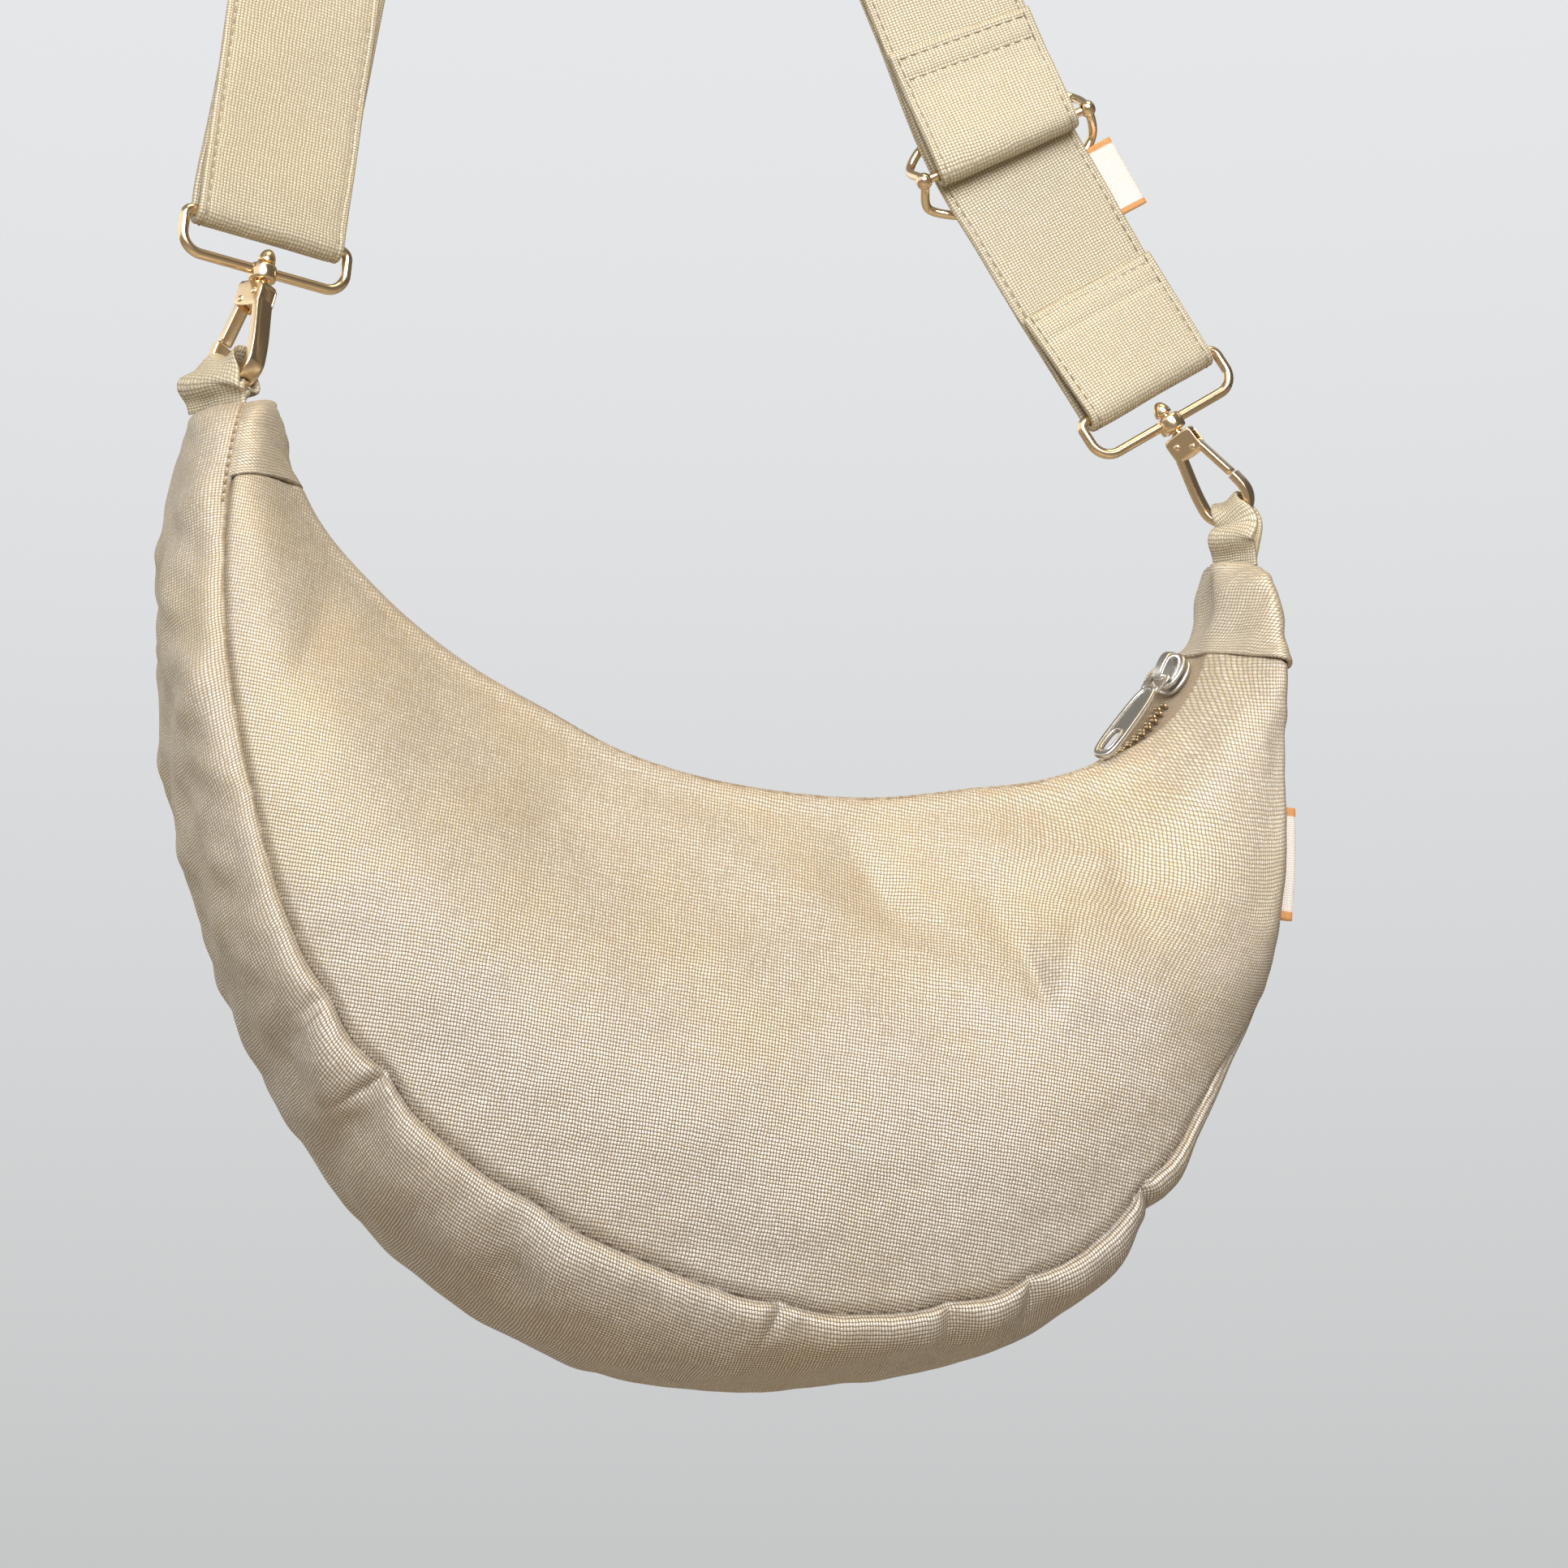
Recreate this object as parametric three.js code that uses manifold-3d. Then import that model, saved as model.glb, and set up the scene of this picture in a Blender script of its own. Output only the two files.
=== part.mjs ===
// Half-moon linen bag, closed and lightly filled, hanging from the top of its own strap.
// Millimetres and degrees: X to the right, Y to the back, Z up.
// The origin is the underside of the strap at the place where it hangs.

import * as THREE from "three";
import { mergeVertices } from "three/addons/utils/BufferGeometryUtils.js";
import Module from "manifold-3d";

const wasm = await Module();
wasm.setup();

// Driving dimensions of the bag
const GAP = 0.3; // clearance between neighbouring pieces
const CLOTH = 1.6; // wall of the bag's linen
const TAPE = 1.0; // wall of the zip's tape
const BAG_CENTRE = new THREE.Vector3(79, 0, -441.6); // midway between the two tips
const BAG_ROLL = 4.5; // how far the right tip hangs down
const ZIP_HALF = 7; // half the width of the zip between the panels
const ZIP_SAG = 1.4; // how far the tape lies below the panels' edges
const TIP_DEPTH = 15; // half the bag's depth at a tip
const MIDDLE_DEPTH = 37; // half the bag's depth at the bottom
const TIP_PUFF = 1; // how far a panel bulges at a tip
const MIDDLE_PUFF = 8; // the same in the middle
const GUSSET_SQUARENESS = 2.4; // 2 is an ellipse, more is squarer
const TIP_START = -0.5; // angle where the left tip ends
const TIP_END = 179.4; // angle where the right tip ends
const TIP_CLOSING = 4.5; // angle over which a tip closes
const TIP_SLIT = 0.25; // share of the depth left at the very end of a tip
const TIP_SLANT = 0.3; // slope of the left tip's end, higher on the zip's side
const TIP_SLANT_REACH = 18; // angle over which that slope fades
const PANEL_WRAP = 0.6; // share of the depth by which the front panel wraps round the right side
const WRAP_START = 125; // angle where that begins
const WRAP_FULL = 148; // angle where it is full
const ZIP_LEAN = 5; // half the rise of the zip's rear edge over its front one beside the slider
const LEAN_REACH = 11; // angle over which that fades towards the bag's middle
const LEAN_TO_TIP = 5; // and towards the tip
const CAP_LEFT = 10; // angle where the left cap's folded edge lies
const CAP_RIGHT = 167.5; // angle where the right cap's folded edge lies

// Driving dimensions of the zip
const CHAIN_HALF = 2.6;
const CHAIN_HEIGHT = 1.8;
const SLIDER_ANGLE = 164;
const SLIDER_LENGTH = 11;
const SLIDER_WIDTH = 8.6;
const SLIDER_HEIGHT = 3.6;
const SLIDER_LIFT = 1.25; // above the middle of the sagging tape
const BRIDGE_LENGTH = 10;
const BRIDGE_WIDTH = 2.6;
const BRIDGE_HEIGHT = 4;
const PULL_LENGTH = 29.5;
const PULL_WIDTH = 7.6;
const PULL_THICKNESS = 1.5;
const PULL_PIN = 0.75;
const PULL_REST = 3.8; // height of the pull's free end above the chain
const PULL_HOLE = new THREE.Vector2(7, 2.8); // long hole at the free end

// Driving dimensions of the strap and its metal
const STRAP_WIDTH = 40.5;
const STRAP_AT_RING = 39.6; // width where the strap is squeezed through a ring
const STRAP = 2; // thickness
const LAYER = 2.6; // spacing of two layers that lie together
const PEG_RADIUS = 12; // roundness of the strap where it hangs
const LAYER_SLIP = 6; // sideways offset of the rear layer on the left leg
const WIRE = 1.35; // radius of the ring's wire
const RING_HALF_WIDTH = 22.1; // wire centre line
const RING_HALF_HEIGHT = 5.6;
const RING_TOP_CORNER = 2.2;
const RING_FOOT_CORNER = 5.2;
const FLAP_RIGHT = 28; // sewn end above the right ring
const FLAP_ADJUSTER = 33; // sewn end above the adjuster
const RIGHT_BEND = new THREE.Vector3(148.3, 0, -342.6); // the right leg bends a little at its adjuster
const BEND_TWIST = -8; // and is turned there about its own length
const ADJUSTER_HALF_WIDTH = 24.2;
const ADJUSTER_HALF_HEIGHT = 9.5;
const ADJUSTER_WIRE = 1.2;
const ADJUSTER_KNOB = 2.3;

// How each end of the strap hangs: place of the ring's centre, lean of ring and hook to the right
// as they go down, and how far each is turned to the right about its own length.
const LEFT_END = { ring: new THREE.Vector3(-43.4, 0, -387.6), lean: -4.5, twist: 18, hookLean: -14, hookTwist: -45 };
const RIGHT_END = { ring: new THREE.Vector3(189.5, 0, -409.6), lean: 33, twist: 0, hookLean: 36.5, hookTwist: -40 };

// Driving dimensions of a swivel hook, downwards from the ring's centre
const BOSS_WIDTH = 7;
const BOSS_HEIGHT = 4.4;
const BOSS_DEPTH = 6.2; // centre of the boss
const STEM = 1.3;
const STEM_PLAY = 0.65; // lets the hook lean in its ring
const RIVET_HEAD = 2.3;
const NECK_TOP = 9.4;
const NECK_LENGTH = 7;
const NECK_WIDTH = 8;
const NECK_THICKNESS = 6;
const BEND_RADIUS = 6.2; // centre line of the hook's bend
const BEND_DEPTH = 30.4; // centre of the bend
const HOOK_THICKNESS = 2.4; // in the hook's own plane
const HOOK_BREADTH = 6; // across that plane
const NOSE_TOP = 26.4;
const GATE_PIVOT = 14.6;
const GATE_OFFSET = 3.2; // pivot's distance from the hook's middle
const GATE_SWEEP = 1.5; // room beside the gate for its swing
const GATE_THICKNESS = 2;
const GATE_BREADTH = 4.2;

// Driving dimensions of the linen loops
const LOOP = 2.2; // thickness of the band
const LOOP_WIDTH = 16;
const LOOP_GATHERED = 7; // width inside the hook
const LOOP_GATHERED_THICKNESS = 3.2;
const LOOP_BULGE = 6; // half the width of the loop's hole

// Driving dimensions of the blank tabs
const TAB = 1;
const BAG_TAB = { from: 145.5, to: 154.5, reach: 5, band: 1.22 };
const STRAP_TAB = { belowAdjuster: 20, length: 20, reach: 7 };

// Sections of the bag, counted from the left tip (0) round the bottom (90) to the right tip (180):
// distances of the zip and of the two seams from the bag's centre, how much farther out the front seam
// lies than the mean of both, and how far the gusset stands out past the seams.
const RIB_COLUMNS = ["angle", "zip", "seam", "skew", "drop"];
const RIBS = [
  [-5, 119, 123, 0, 13],
  [0, 119, 127, 0, 13],
  [12, 111, 133, 0, 13],
  [25, 99, 141, 0, 13.5],
  [40, 88, 154, 0, 15],
  [55, 80.5, 173, 0, 15],
  [70, 78.5, 190, 0, 20],
  [85, 78, 202, 0, 22],
  [100, 80, 212, 0, 12.5],
  [115, 85.5, 208, 1, 12.5],
  [130, 94, 184, 5, 6],
  [141, 105.5, 171.5, 7.5, 4],
  [147, 112, 161, 8, 3],
  [158, 123, 145, 7, 3.5],
  [168, 125.5, 138.5, 5, 4],
  [180, 123, 132, 2, 5],
  [185, 123, 130, 1, 5],
];

// Dents of the front panel: where they lie (share counts from the zip to the seam), how far they reach, how deep.
const DENT_COLUMNS = ["angle", "share", "reachAngle", "reachShare", "depth"];
const FRONT_DENTS = [
  [112, 0.24, 13, 0.17, 4.5],
  [128, 0.36, 7, 0.14, 2.5],
  [70, 0.22, 22, 0.16, 2],
  [28, 0.45, 8, 0.2, 1.5],
  [152, 0.5, 9, 0.2, 1.5],
];

// Puckers where the front seam is drawn in: angle, depth, spread along the seam, reach across the gusset.
const SEAM_PUCKER = 0.3; // share of a pucker's depth on the seam itself
const PUCKER_COLUMNS = ["angle", "depth", "spread", "reach"];
const PUCKERS = [
  [57.5, 1.8, 1.6, 0.5],
  [64.5, 4, 1.7, 0.4],
  [77.5, 3, 1.7, 0.4],
  [95, 2, 1.5, 0.25],
  [106, 2, 1.5, 0.25],
  [111.7, 2.2, 1.5, 0.25],
  [121.3, 2.6, 1.8, 0.4],
];

const toRows = (columns, table) =>
  table.map((row) => Object.fromEntries(columns.map((name, i) => [name, row[i]])));
const ribs = toRows(RIB_COLUMNS, RIBS);
const frontDents = toRows(DENT_COLUMNS, FRONT_DENTS);
const puckers = toRows(PUCKER_COLUMNS, PUCKERS);

// Finishes
const finish = (color, roughness, metalness) =>
  new THREE.MeshStandardMaterial({ color, roughness, metalness, side: THREE.DoubleSide });
const coatedLinen = finish(0xc9b48c, 0.6, 0.25);
const plainLinen = finish(0xb9a98c, 0.85, 0);
const paleGold = finish(0xd8c08a, 0.22, 1);
const silver = finish(0xc8c8c6, 0.28, 1);
const zipCloth = finish(0xc3ab93, 0.85, 0);
const tabCloth = finish(0xeee9df, 0.8, 0);

// Meshes and booleans

function solid(positions, indices) {
  const geometry = new THREE.BufferGeometry();
  geometry.setAttribute("position", new THREE.Float32BufferAttribute(positions, 3));
  geometry.setIndex(indices);
  if (signedVolume(geometry) < 0) {
    for (let i = 0; i < indices.length; i += 3) {
      [indices[i], indices[i + 1]] = [indices[i + 1], indices[i]];
    }
    geometry.setIndex(indices);
  }
  return geometry;
}

function signedVolume(geometry) {
  const corner = [new THREE.Vector3(), new THREE.Vector3(), new THREE.Vector3()];
  const { index } = geometry;
  let sum = 0;
  for (let i = 0; i < index.count; i += 3) {
    corner.forEach((v, k) => v.fromBufferAttribute(geometry.attributes.position, index.getX(i + k)));
    sum += corner[0].dot(corner[1].clone().cross(corner[2]));
  }
  return sum / 6;
}

// Skin over rings of points, open with flat ends or closed on itself.
function loft(rings, closed) {
  const count = rings[0].length;
  const positions = rings.flat().flatMap((p) => [p.x, p.y, p.z]);
  const indices = [];
  const last = closed ? rings.length : rings.length - 1;
  for (let i = 0; i < last; i++) {
    const here = i * count;
    const next = ((i + 1) % rings.length) * count;
    for (let j = 0; j < count; j++) {
      const k = (j + 1) % count;
      indices.push(here + j, next + j, next + k, here + j, next + k, here + k);
    }
  }
  if (!closed) {
    const end = (rings.length - 1) * count;
    for (let j = 1; j < count - 1; j++) {
      indices.push(0, j, j + 1, end, end + j + 1, end + j);
    }
  }
  return solid(positions, indices);
}

// Round wire along a smooth curve; the radius may change along it.
function wire(curve, steps, radius, sides, closed) {
  const frames = curve.computeFrenetFrames(steps, closed);
  const rings = [];
  for (let i = 0; i < (closed ? steps : steps + 1); i++) {
    const share = i / steps;
    const centre = curve.getPointAt(share);
    const size = typeof radius === "function" ? radius(share) : radius;
    const ring = [];
    for (let j = 0; j < sides; j++) {
      const turn = (2 * Math.PI * j) / sides;
      ring.push(
        centre
          .clone()
          .addScaledVector(frames.normals[i], size * Math.cos(turn))
          .addScaledVector(frames.binormals[i], size * Math.sin(turn)),
      );
    }
    rings.push(ring);
  }
  return loft(rings, closed);
}

function toManifold(geometry) {
  const bare = new THREE.BufferGeometry();
  bare.setAttribute("position", geometry.attributes.position);
  bare.setIndex(geometry.index);
  const merged = mergeVertices(bare, 1e-4);
  return new wasm.Manifold(
    new wasm.Mesh({
      numProp: 3,
      vertProperties: new Float32Array(merged.attributes.position.array),
      triVerts: new Uint32Array(merged.index.array),
    }),
  );
}

function fromManifold(body) {
  const mesh = body.getMesh();
  return solid(Array.from(mesh.vertProperties), Array.from(mesh.triVerts));
}

const join = (...geometries) => fromManifold(geometries.map(toManifold).reduce((a, b) => a.add(b)));
const cut = (geometry, tool) => fromManifold(toManifold(geometry).subtract(toManifold(tool)));
const box = (x, y, z) => new THREE.BoxGeometry(x, y, z);
const ball = (radius) => new THREE.SphereGeometry(radius, 10, 7);
const pinAlongY = (radius, length, sides = 12) => new THREE.CylinderGeometry(radius, radius, length, sides);
const pinAlongZ = (radius, length, sides = 12) => pinAlongY(radius, length, sides).rotateX(Math.PI / 2);
const pinAlongX = (radius, length, sides = 12) => pinAlongY(radius, length, sides).rotateZ(Math.PI / 2);

// Form of the bag

// Smooth value of one column between the rows of the section table.
function ribValue(column, angle) {
  const last = ribs.length - 2;
  let i = 0;
  while (i < last && angle > ribs[i + 1].angle) i++;
  const slope = (k) => {
    const before = ribs[Math.max(k - 1, 0)];
    const after = ribs[Math.min(k + 1, ribs.length - 1)];
    return (after[column] - before[column]) / (after.angle - before.angle);
  };
  const step = ribs[i + 1].angle - ribs[i].angle;
  const t = (angle - ribs[i].angle) / step;
  const rise = ribs[i + 1][column] - ribs[i][column];
  const bend = step * (slope(i) * (1 - t) - slope(i + 1) * t) - rise * (1 - 2 * t);
  return ribs[i][column] + rise * t + t * (1 - t) * bend;
}

function ribAt(angle) {
  const sine = Math.max(Math.sin(THREE.MathUtils.degToRad(angle)), 0);
  const fromTip = Math.min(angle - TIP_START, TIP_END - angle) / TIP_CLOSING;
  const closing = THREE.MathUtils.clamp(fromTip, 0, 1);
  return {
    zip: ribValue("zip", angle),
    seam: ribValue("seam", angle),
    skew: ribValue("skew", angle),
    depth: TIP_DEPTH + (MIDDLE_DEPTH - TIP_DEPTH) * sine ** 0.6,
    drop: ribValue("drop", angle),
    puff: TIP_PUFF + (MIDDLE_PUFF - TIP_PUFF) * sine,
    fill: TIP_SLIT + (1 - TIP_SLIT) * Math.sqrt(1 - (1 - closing) ** 2),
    wrap: PANEL_WRAP * THREE.MathUtils.smoothstep(angle, WRAP_START, WRAP_FULL),
    lean: ZIP_LEAN * hump((angle - SLIDER_ANGLE) / (angle < SLIDER_ANGLE ? LEAN_REACH : LEAN_TO_TIP)),
  };
}

const hump = (distance) => Math.exp(-distance * distance);

function dentAt(angle, share) {
  let depth = 0;
  for (const dent of frontDents) {
    const along = (angle - dent.angle) / dent.reachAngle;
    const across = (share - dent.share) / dent.reachShare;
    depth += dent.depth * hump(along) * hump(across);
  }
  return depth * Math.sqrt(Math.sin(Math.PI * THREE.MathUtils.clamp(share, 0, 1)));
}

function puckerAt(angle, share) {
  let depth = 0;
  for (const pucker of puckers) {
    const along = (angle - pucker.angle) / pucker.spread;
    const fold = hump(along) - 0.35 * hump(along - 2) - 0.35 * hump(along + 2);
    depth += pucker.depth * fold * hump(share / pucker.reach);
  }
  return depth;
}

// Half the section's width over a panel, from the zip (share 0) to the seam (share 1).
function panelHalf(rib, share) {
  const spread = 1 - (1 - share) ** 1.8;
  return ZIP_HALF + (rib.depth - ZIP_HALF) * spread + rib.puff * Math.sin(Math.PI * share ** 1.4);
}

// Place on the bag's skin. Band 0 to 1 is the front panel from zip to seam, 1 to 2 the gusset from front
// to back, 2 to 3 the back panel from seam to zip, 3 to 4 the zip from back to front.
function skinPoint(angle, band) {
  const rib = ribAt(angle);
  const part = ((band % 4) + 4) % 4;
  let radius;
  let depth;
  if (part <= 1) {
    const bowed = part + (rib.wrap / PANEL_WRAP) * part * (1 - part);
    radius = rib.zip + (rib.seam + rib.skew - rib.zip) * bowed;
    radius -= SEAM_PUCKER * puckerAt(angle, 0) * hump((1 - part) / 0.03);
    depth = -(panelHalf(rib, part) - dentAt(angle, part) - rib.wrap * rib.depth * part ** 4);
  } else if (part < 2) {
    const share = part - 1;
    const turn = Math.PI * share;
    const power = 2 / GUSSET_SQUARENESS;
    const cosine = Math.cos(turn);
    const flow = (rib.wrap / PANEL_WRAP) * (1 - share);
    radius = rib.seam + rib.skew * (1 - 2 * share) + rib.drop * Math.sin(turn) ** (power + 0.8 * flow);
    radius -= puckerAt(angle, share) * (1 - (1 - SEAM_PUCKER) * hump(share / 0.05));
    const round = Math.sign(cosine) * Math.abs(cosine) ** power;
    const across = THREE.MathUtils.lerp(round, 1 - 2 * share, flow);
    depth = -rib.depth * (across * (1 - rib.wrap / 2) - rib.wrap / 2);
  } else if (part <= 3) {
    const share = 3 - part;
    const rearZip = rib.zip - 2 * rib.lean;
    radius = rearZip + (rib.seam - rib.skew - rearZip) * share;
    depth = panelHalf(rib, share);
  } else {
    const share = part - 3;
    radius = rib.zip - 2 * rib.lean * (1 - share) + ZIP_SAG * Math.sin(Math.PI * share);
    depth = ZIP_HALF * (1 - 2 * share);
  }
  const middle = (rib.zip + rib.seam + rib.drop) / 2;
  radius = middle + (radius - middle) * (0.85 + 0.15 * rib.fill);
  const slant = TIP_SLANT * Math.max(1 - Math.max(angle, 0) / TIP_SLANT_REACH, 0) ** 2;
  const turn = THREE.MathUtils.degToRad(angle) + (slant * (radius - middle)) / radius;
  return new THREE.Vector3(-radius * Math.cos(turn), depth * rib.fill, -radius * Math.sin(turn));
}

// Outward direction on one band; near a seam the measuring step stays inside the band.
function bandNormal(angle, band) {
  const stepAngle = 0.2;
  const stepBand = 0.01;
  const along = skinPoint(angle + stepAngle, band).sub(skinPoint(angle - stepAngle, band));
  const across = skinPoint(angle, band + stepBand).sub(skinPoint(angle, band - stepBand));
  return across.cross(along).normalize();
}

// On a seam both neighbours share the mean direction, so that their walls do not cross.
function skinNormal(angle, band) {
  const seam = Math.round(band);
  const margin = 0.02;
  if (Math.abs(band - seam) > margin) return bandNormal(angle, band);
  return bandNormal(angle, seam - margin).add(bandNormal(angle, seam + margin)).normalize();
}

// Share of a band, on the given side of a seam, that makes up half the clearance there.
function seamTrim(angle, seam, side) {
  const onSeam = skinPoint(angle, seam);
  let share = 0;
  while (skinPoint(angle, seam + side * share).distanceTo(onSeam) < 0.5 * GAP) share += 0.001;
  return share;
}

// Wall of cloth over a stretch of the skin; lift raises its outer face above the skin.
function wall({ angles, from, to, columns, thickness = CLOTH, lift = 0, trim = true }) {
  const outer = [];
  const inner = [];
  for (const angle of angles) {
    const start = from + (trim ? seamTrim(angle, from, 1) : 0);
    const end = to - (trim ? seamTrim(angle, to, -1) : 0);
    for (let j = 0; j <= columns; j++) {
      const band = start + ((end - start) * j) / columns;
      const normal = skinNormal(angle, band);
      const place = skinPoint(angle, band);
      outer.push(place.clone().addScaledVector(normal, lift));
      inner.push(place.clone().addScaledVector(normal, lift - thickness));
    }
  }
  const width = columns + 1;
  const half = outer.length;
  const positions = [...outer, ...inner].flatMap((p) => [p.x, p.y, p.z]);
  const indices = [];
  const quad = (a, b, c, d) => indices.push(a, b, c, a, c, d);
  const rows = angles.length - 1;
  for (let i = 0; i < rows; i++) {
    for (let j = 0; j < columns; j++) {
      const a = i * width + j;
      quad(a, a + 1, a + width + 1, a + width);
      quad(half + a, half + a + width, half + a + width + 1, half + a + 1);
    }
    const left = i * width;
    const right = left + columns;
    quad(left, left + width, half + left + width, half + left);
    quad(right, half + right, half + right + width, right + width);
  }
  const lastRow = rows * width;
  for (let j = 0; j < columns; j++) {
    quad(j + 1, j, half + j, half + j + 1);
    quad(lastRow + j, lastRow + j + 1, half + lastRow + j + 1, half + lastRow + j);
  }
  return solid(positions, indices);
}

// Even stations between two angles, closer where the seam is puckered, with any others that are named.
function stations(start, end, count, folds = [], named = []) {
  const step = (end - start) / count;
  const even = Array.from({ length: count + 1 }, (_, i) => start + step * i);
  const inFold = (fold) => [-1.6, -0.8, 0, 0.8, 1.6].map((k) => fold.angle + k * fold.spread);
  const extra = [...folds.flatMap(inFold), ...named];
  const near = (a, list) => list.some((b) => Math.abs(a - b) < 0.9);
  const kept = even.filter((a, i) => i === 0 || i === count || !near(a, extra));
  return [...kept, ...extra].sort((a, b) => a - b);
}

// Pieces

const bag = new THREE.Group();
bag.position.copy(BAG_CENTRE);
bag.rotation.y = THREE.MathUtils.degToRad(BAG_ROLL);

const object = new THREE.Group();
object.name = "half_moon_bag";
object.add(bag);

function addPiece(parent, name, geometry, material) {
  const mesh = new THREE.Mesh(geometry, material);
  mesh.name = name;
  parent.add(mesh);
  return mesh;
}

const capGap = THREE.MathUtils.radToDeg(GAP / 115);
const tipLeftRun = stations(TIP_START, CAP_LEFT, 5);
const tipRightRun = stations(CAP_RIGHT, TIP_END, 5);
const deepFolds = puckers.filter((pucker) => pucker.depth > 2.5);
const chainEnd = SLIDER_ANGLE - THREE.MathUtils.radToDeg((0.5 * SLIDER_LENGTH + 2 * GAP) / 123);
const seamRun = stations(CAP_LEFT + capGap, CAP_RIGHT - capGap, 30, deepFolds, [chainEnd]);
const gussetRun = [...tipLeftRun, ...seamRun.slice(1, -1), ...tipRightRun];

addPiece(bag, "front_panel", wall({ angles: seamRun, from: 0, to: 1, columns: 9 }), coatedLinen);
addPiece(bag, "back_panel", wall({ angles: seamRun, from: 2, to: 3, columns: 6 }), coatedLinen);
addPiece(bag, "gusset", wall({ angles: gussetRun, from: 1, to: 2, columns: 9 }), coatedLinen);
addPiece(bag, "tip_cap_left", wall({ angles: tipLeftRun, from: 2, to: 5, columns: 13 }), coatedLinen);
addPiece(bag, "tip_cap_right", wall({ angles: tipRightRun, from: 2, to: 5, columns: 13 }), coatedLinen);
addPiece(bag, "zip_tape", wall({ angles: seamRun, from: 3, to: 4, columns: 4, thickness: TAPE }), zipCloth);

const chainShare = CHAIN_HALF / (2 * ZIP_HALF);
const chain = wall({
  angles: seamRun.filter((angle) => angle <= chainEnd),
  from: 3.5 - chainShare,
  to: 3.5 + chainShare,
  columns: 2,
  thickness: CHAIN_HEIGHT,
  lift: CHAIN_HEIGHT + GAP,
  trim: false,
});
addPiece(bag, "zip_chain", chain, zipCloth);

// Slider: X points along the zip to the bag's middle, Y to the back, Z out of the zip.
function zipFrame(angle) {
  const ahead = skinPoint(angle - 1, 3.5).sub(skinPoint(angle + 1, 3.5)).normalize();
  const out = skinNormal(angle, 3.5);
  const back = out.clone().cross(ahead).normalize();
  out.copy(ahead.clone().cross(back));
  return new THREE.Matrix4().makeBasis(ahead, back, out).setPosition(skinPoint(angle, 3.5));
}

function sliderBody() {
  const outline = new THREE.Shape();
  const half = SLIDER_LENGTH / 2;
  const wide = SLIDER_WIDTH / 2;
  outline.moveTo(half, -0.7 * wide);
  outline.lineTo(half, 0.7 * wide);
  outline.quadraticCurveTo(0, wide, -half * 0.6, wide);
  outline.quadraticCurveTo(-half, wide, -half, 0);
  outline.quadraticCurveTo(-half, -wide, -half * 0.6, -wide);
  outline.quadraticCurveTo(0, -wide, half, -0.7 * wide);
  const body = new THREE.ExtrudeGeometry(outline, { depth: SLIDER_HEIGHT, bevelEnabled: false, curveSegments: 5 });
  body.translate(0, 0, SLIDER_LIFT);
  const arch = new THREE.Shape();
  arch.moveTo(-BRIDGE_LENGTH / 2, 0);
  arch.lineTo(BRIDGE_LENGTH / 2, 0);
  arch.lineTo(BRIDGE_LENGTH / 2, 0.4 * BRIDGE_HEIGHT);
  arch.quadraticCurveTo(BRIDGE_LENGTH / 2, BRIDGE_HEIGHT, 0, BRIDGE_HEIGHT);
  arch.quadraticCurveTo(-BRIDGE_LENGTH / 2, BRIDGE_HEIGHT, -BRIDGE_LENGTH / 2, 0.4 * BRIDGE_HEIGHT);
  arch.lineTo(-BRIDGE_LENGTH / 2, 0);
  const eye = new THREE.Path();
  eye.absarc(PIN_AHEAD, BRIDGE_EYE, PULL_PIN + 0.45, 0, 2 * Math.PI, true);
  arch.holes.push(eye);
  const bridge = new THREE.ExtrudeGeometry(arch, { depth: BRIDGE_WIDTH, bevelEnabled: false, curveSegments: 6 });
  bridge.rotateX(Math.PI / 2);
  bridge.translate(0, BRIDGE_WIDTH / 2, SLIDER_LIFT + SLIDER_HEIGHT - 0.2);
  return join(body, bridge);
}
const BRIDGE_EYE = 1.75;
const PIN_AHEAD = BRIDGE_LENGTH / 2 - 2.2;
const PIN_HEIGHT = SLIDER_LIFT + SLIDER_HEIGHT - 0.2 + BRIDGE_EYE;

const sliderPlace = zipFrame(SLIDER_ANGLE);
const slider = addPiece(bag, "zip_slider", sliderBody(), silver);
slider.applyMatrix4(sliderPlace);

// Pull: X along the tab from the pin, Z out of the zip. It lies with its free end on the chain.
function pullTab() {
  const forkLength = 5;
  const half = PULL_WIDTH / 2;
  const outline = new THREE.Shape();
  outline.moveTo(forkLength, -half * 0.8);
  outline.lineTo(PULL_LENGTH - half, -half);
  outline.absarc(PULL_LENGTH - half, 0, half, -Math.PI / 2, Math.PI / 2, false);
  outline.lineTo(forkLength, half * 0.8);
  const hole = new THREE.Path();
  const holeEnd = PULL_LENGTH - half;
  hole.absarc(holeEnd, 0, PULL_HOLE.y / 2, Math.PI / 2, -Math.PI / 2, true);
  hole.absarc(holeEnd - PULL_HOLE.x + PULL_HOLE.y, 0, PULL_HOLE.y / 2, -Math.PI / 2, Math.PI / 2, true);
  outline.holes.push(hole);
  const plate = new THREE.ExtrudeGeometry(outline, {
    depth: PULL_THICKNESS,
    bevelEnabled: false,
    curveSegments: 6,
  });
  plate.translate(0, 0, -PULL_THICKNESS / 2);
  const armWidth = 1.3;
  const armOffset = BRIDGE_WIDTH / 2 + GAP + armWidth / 2;
  const arm = (side) =>
    box(forkLength + 1.6, armWidth, PULL_THICKNESS).translate(forkLength / 2, side * armOffset, 0);
  const pin = pinAlongY(PULL_PIN, 2 * armOffset + armWidth);
  return join(plate, arm(1), arm(-1), pin);
}

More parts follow.
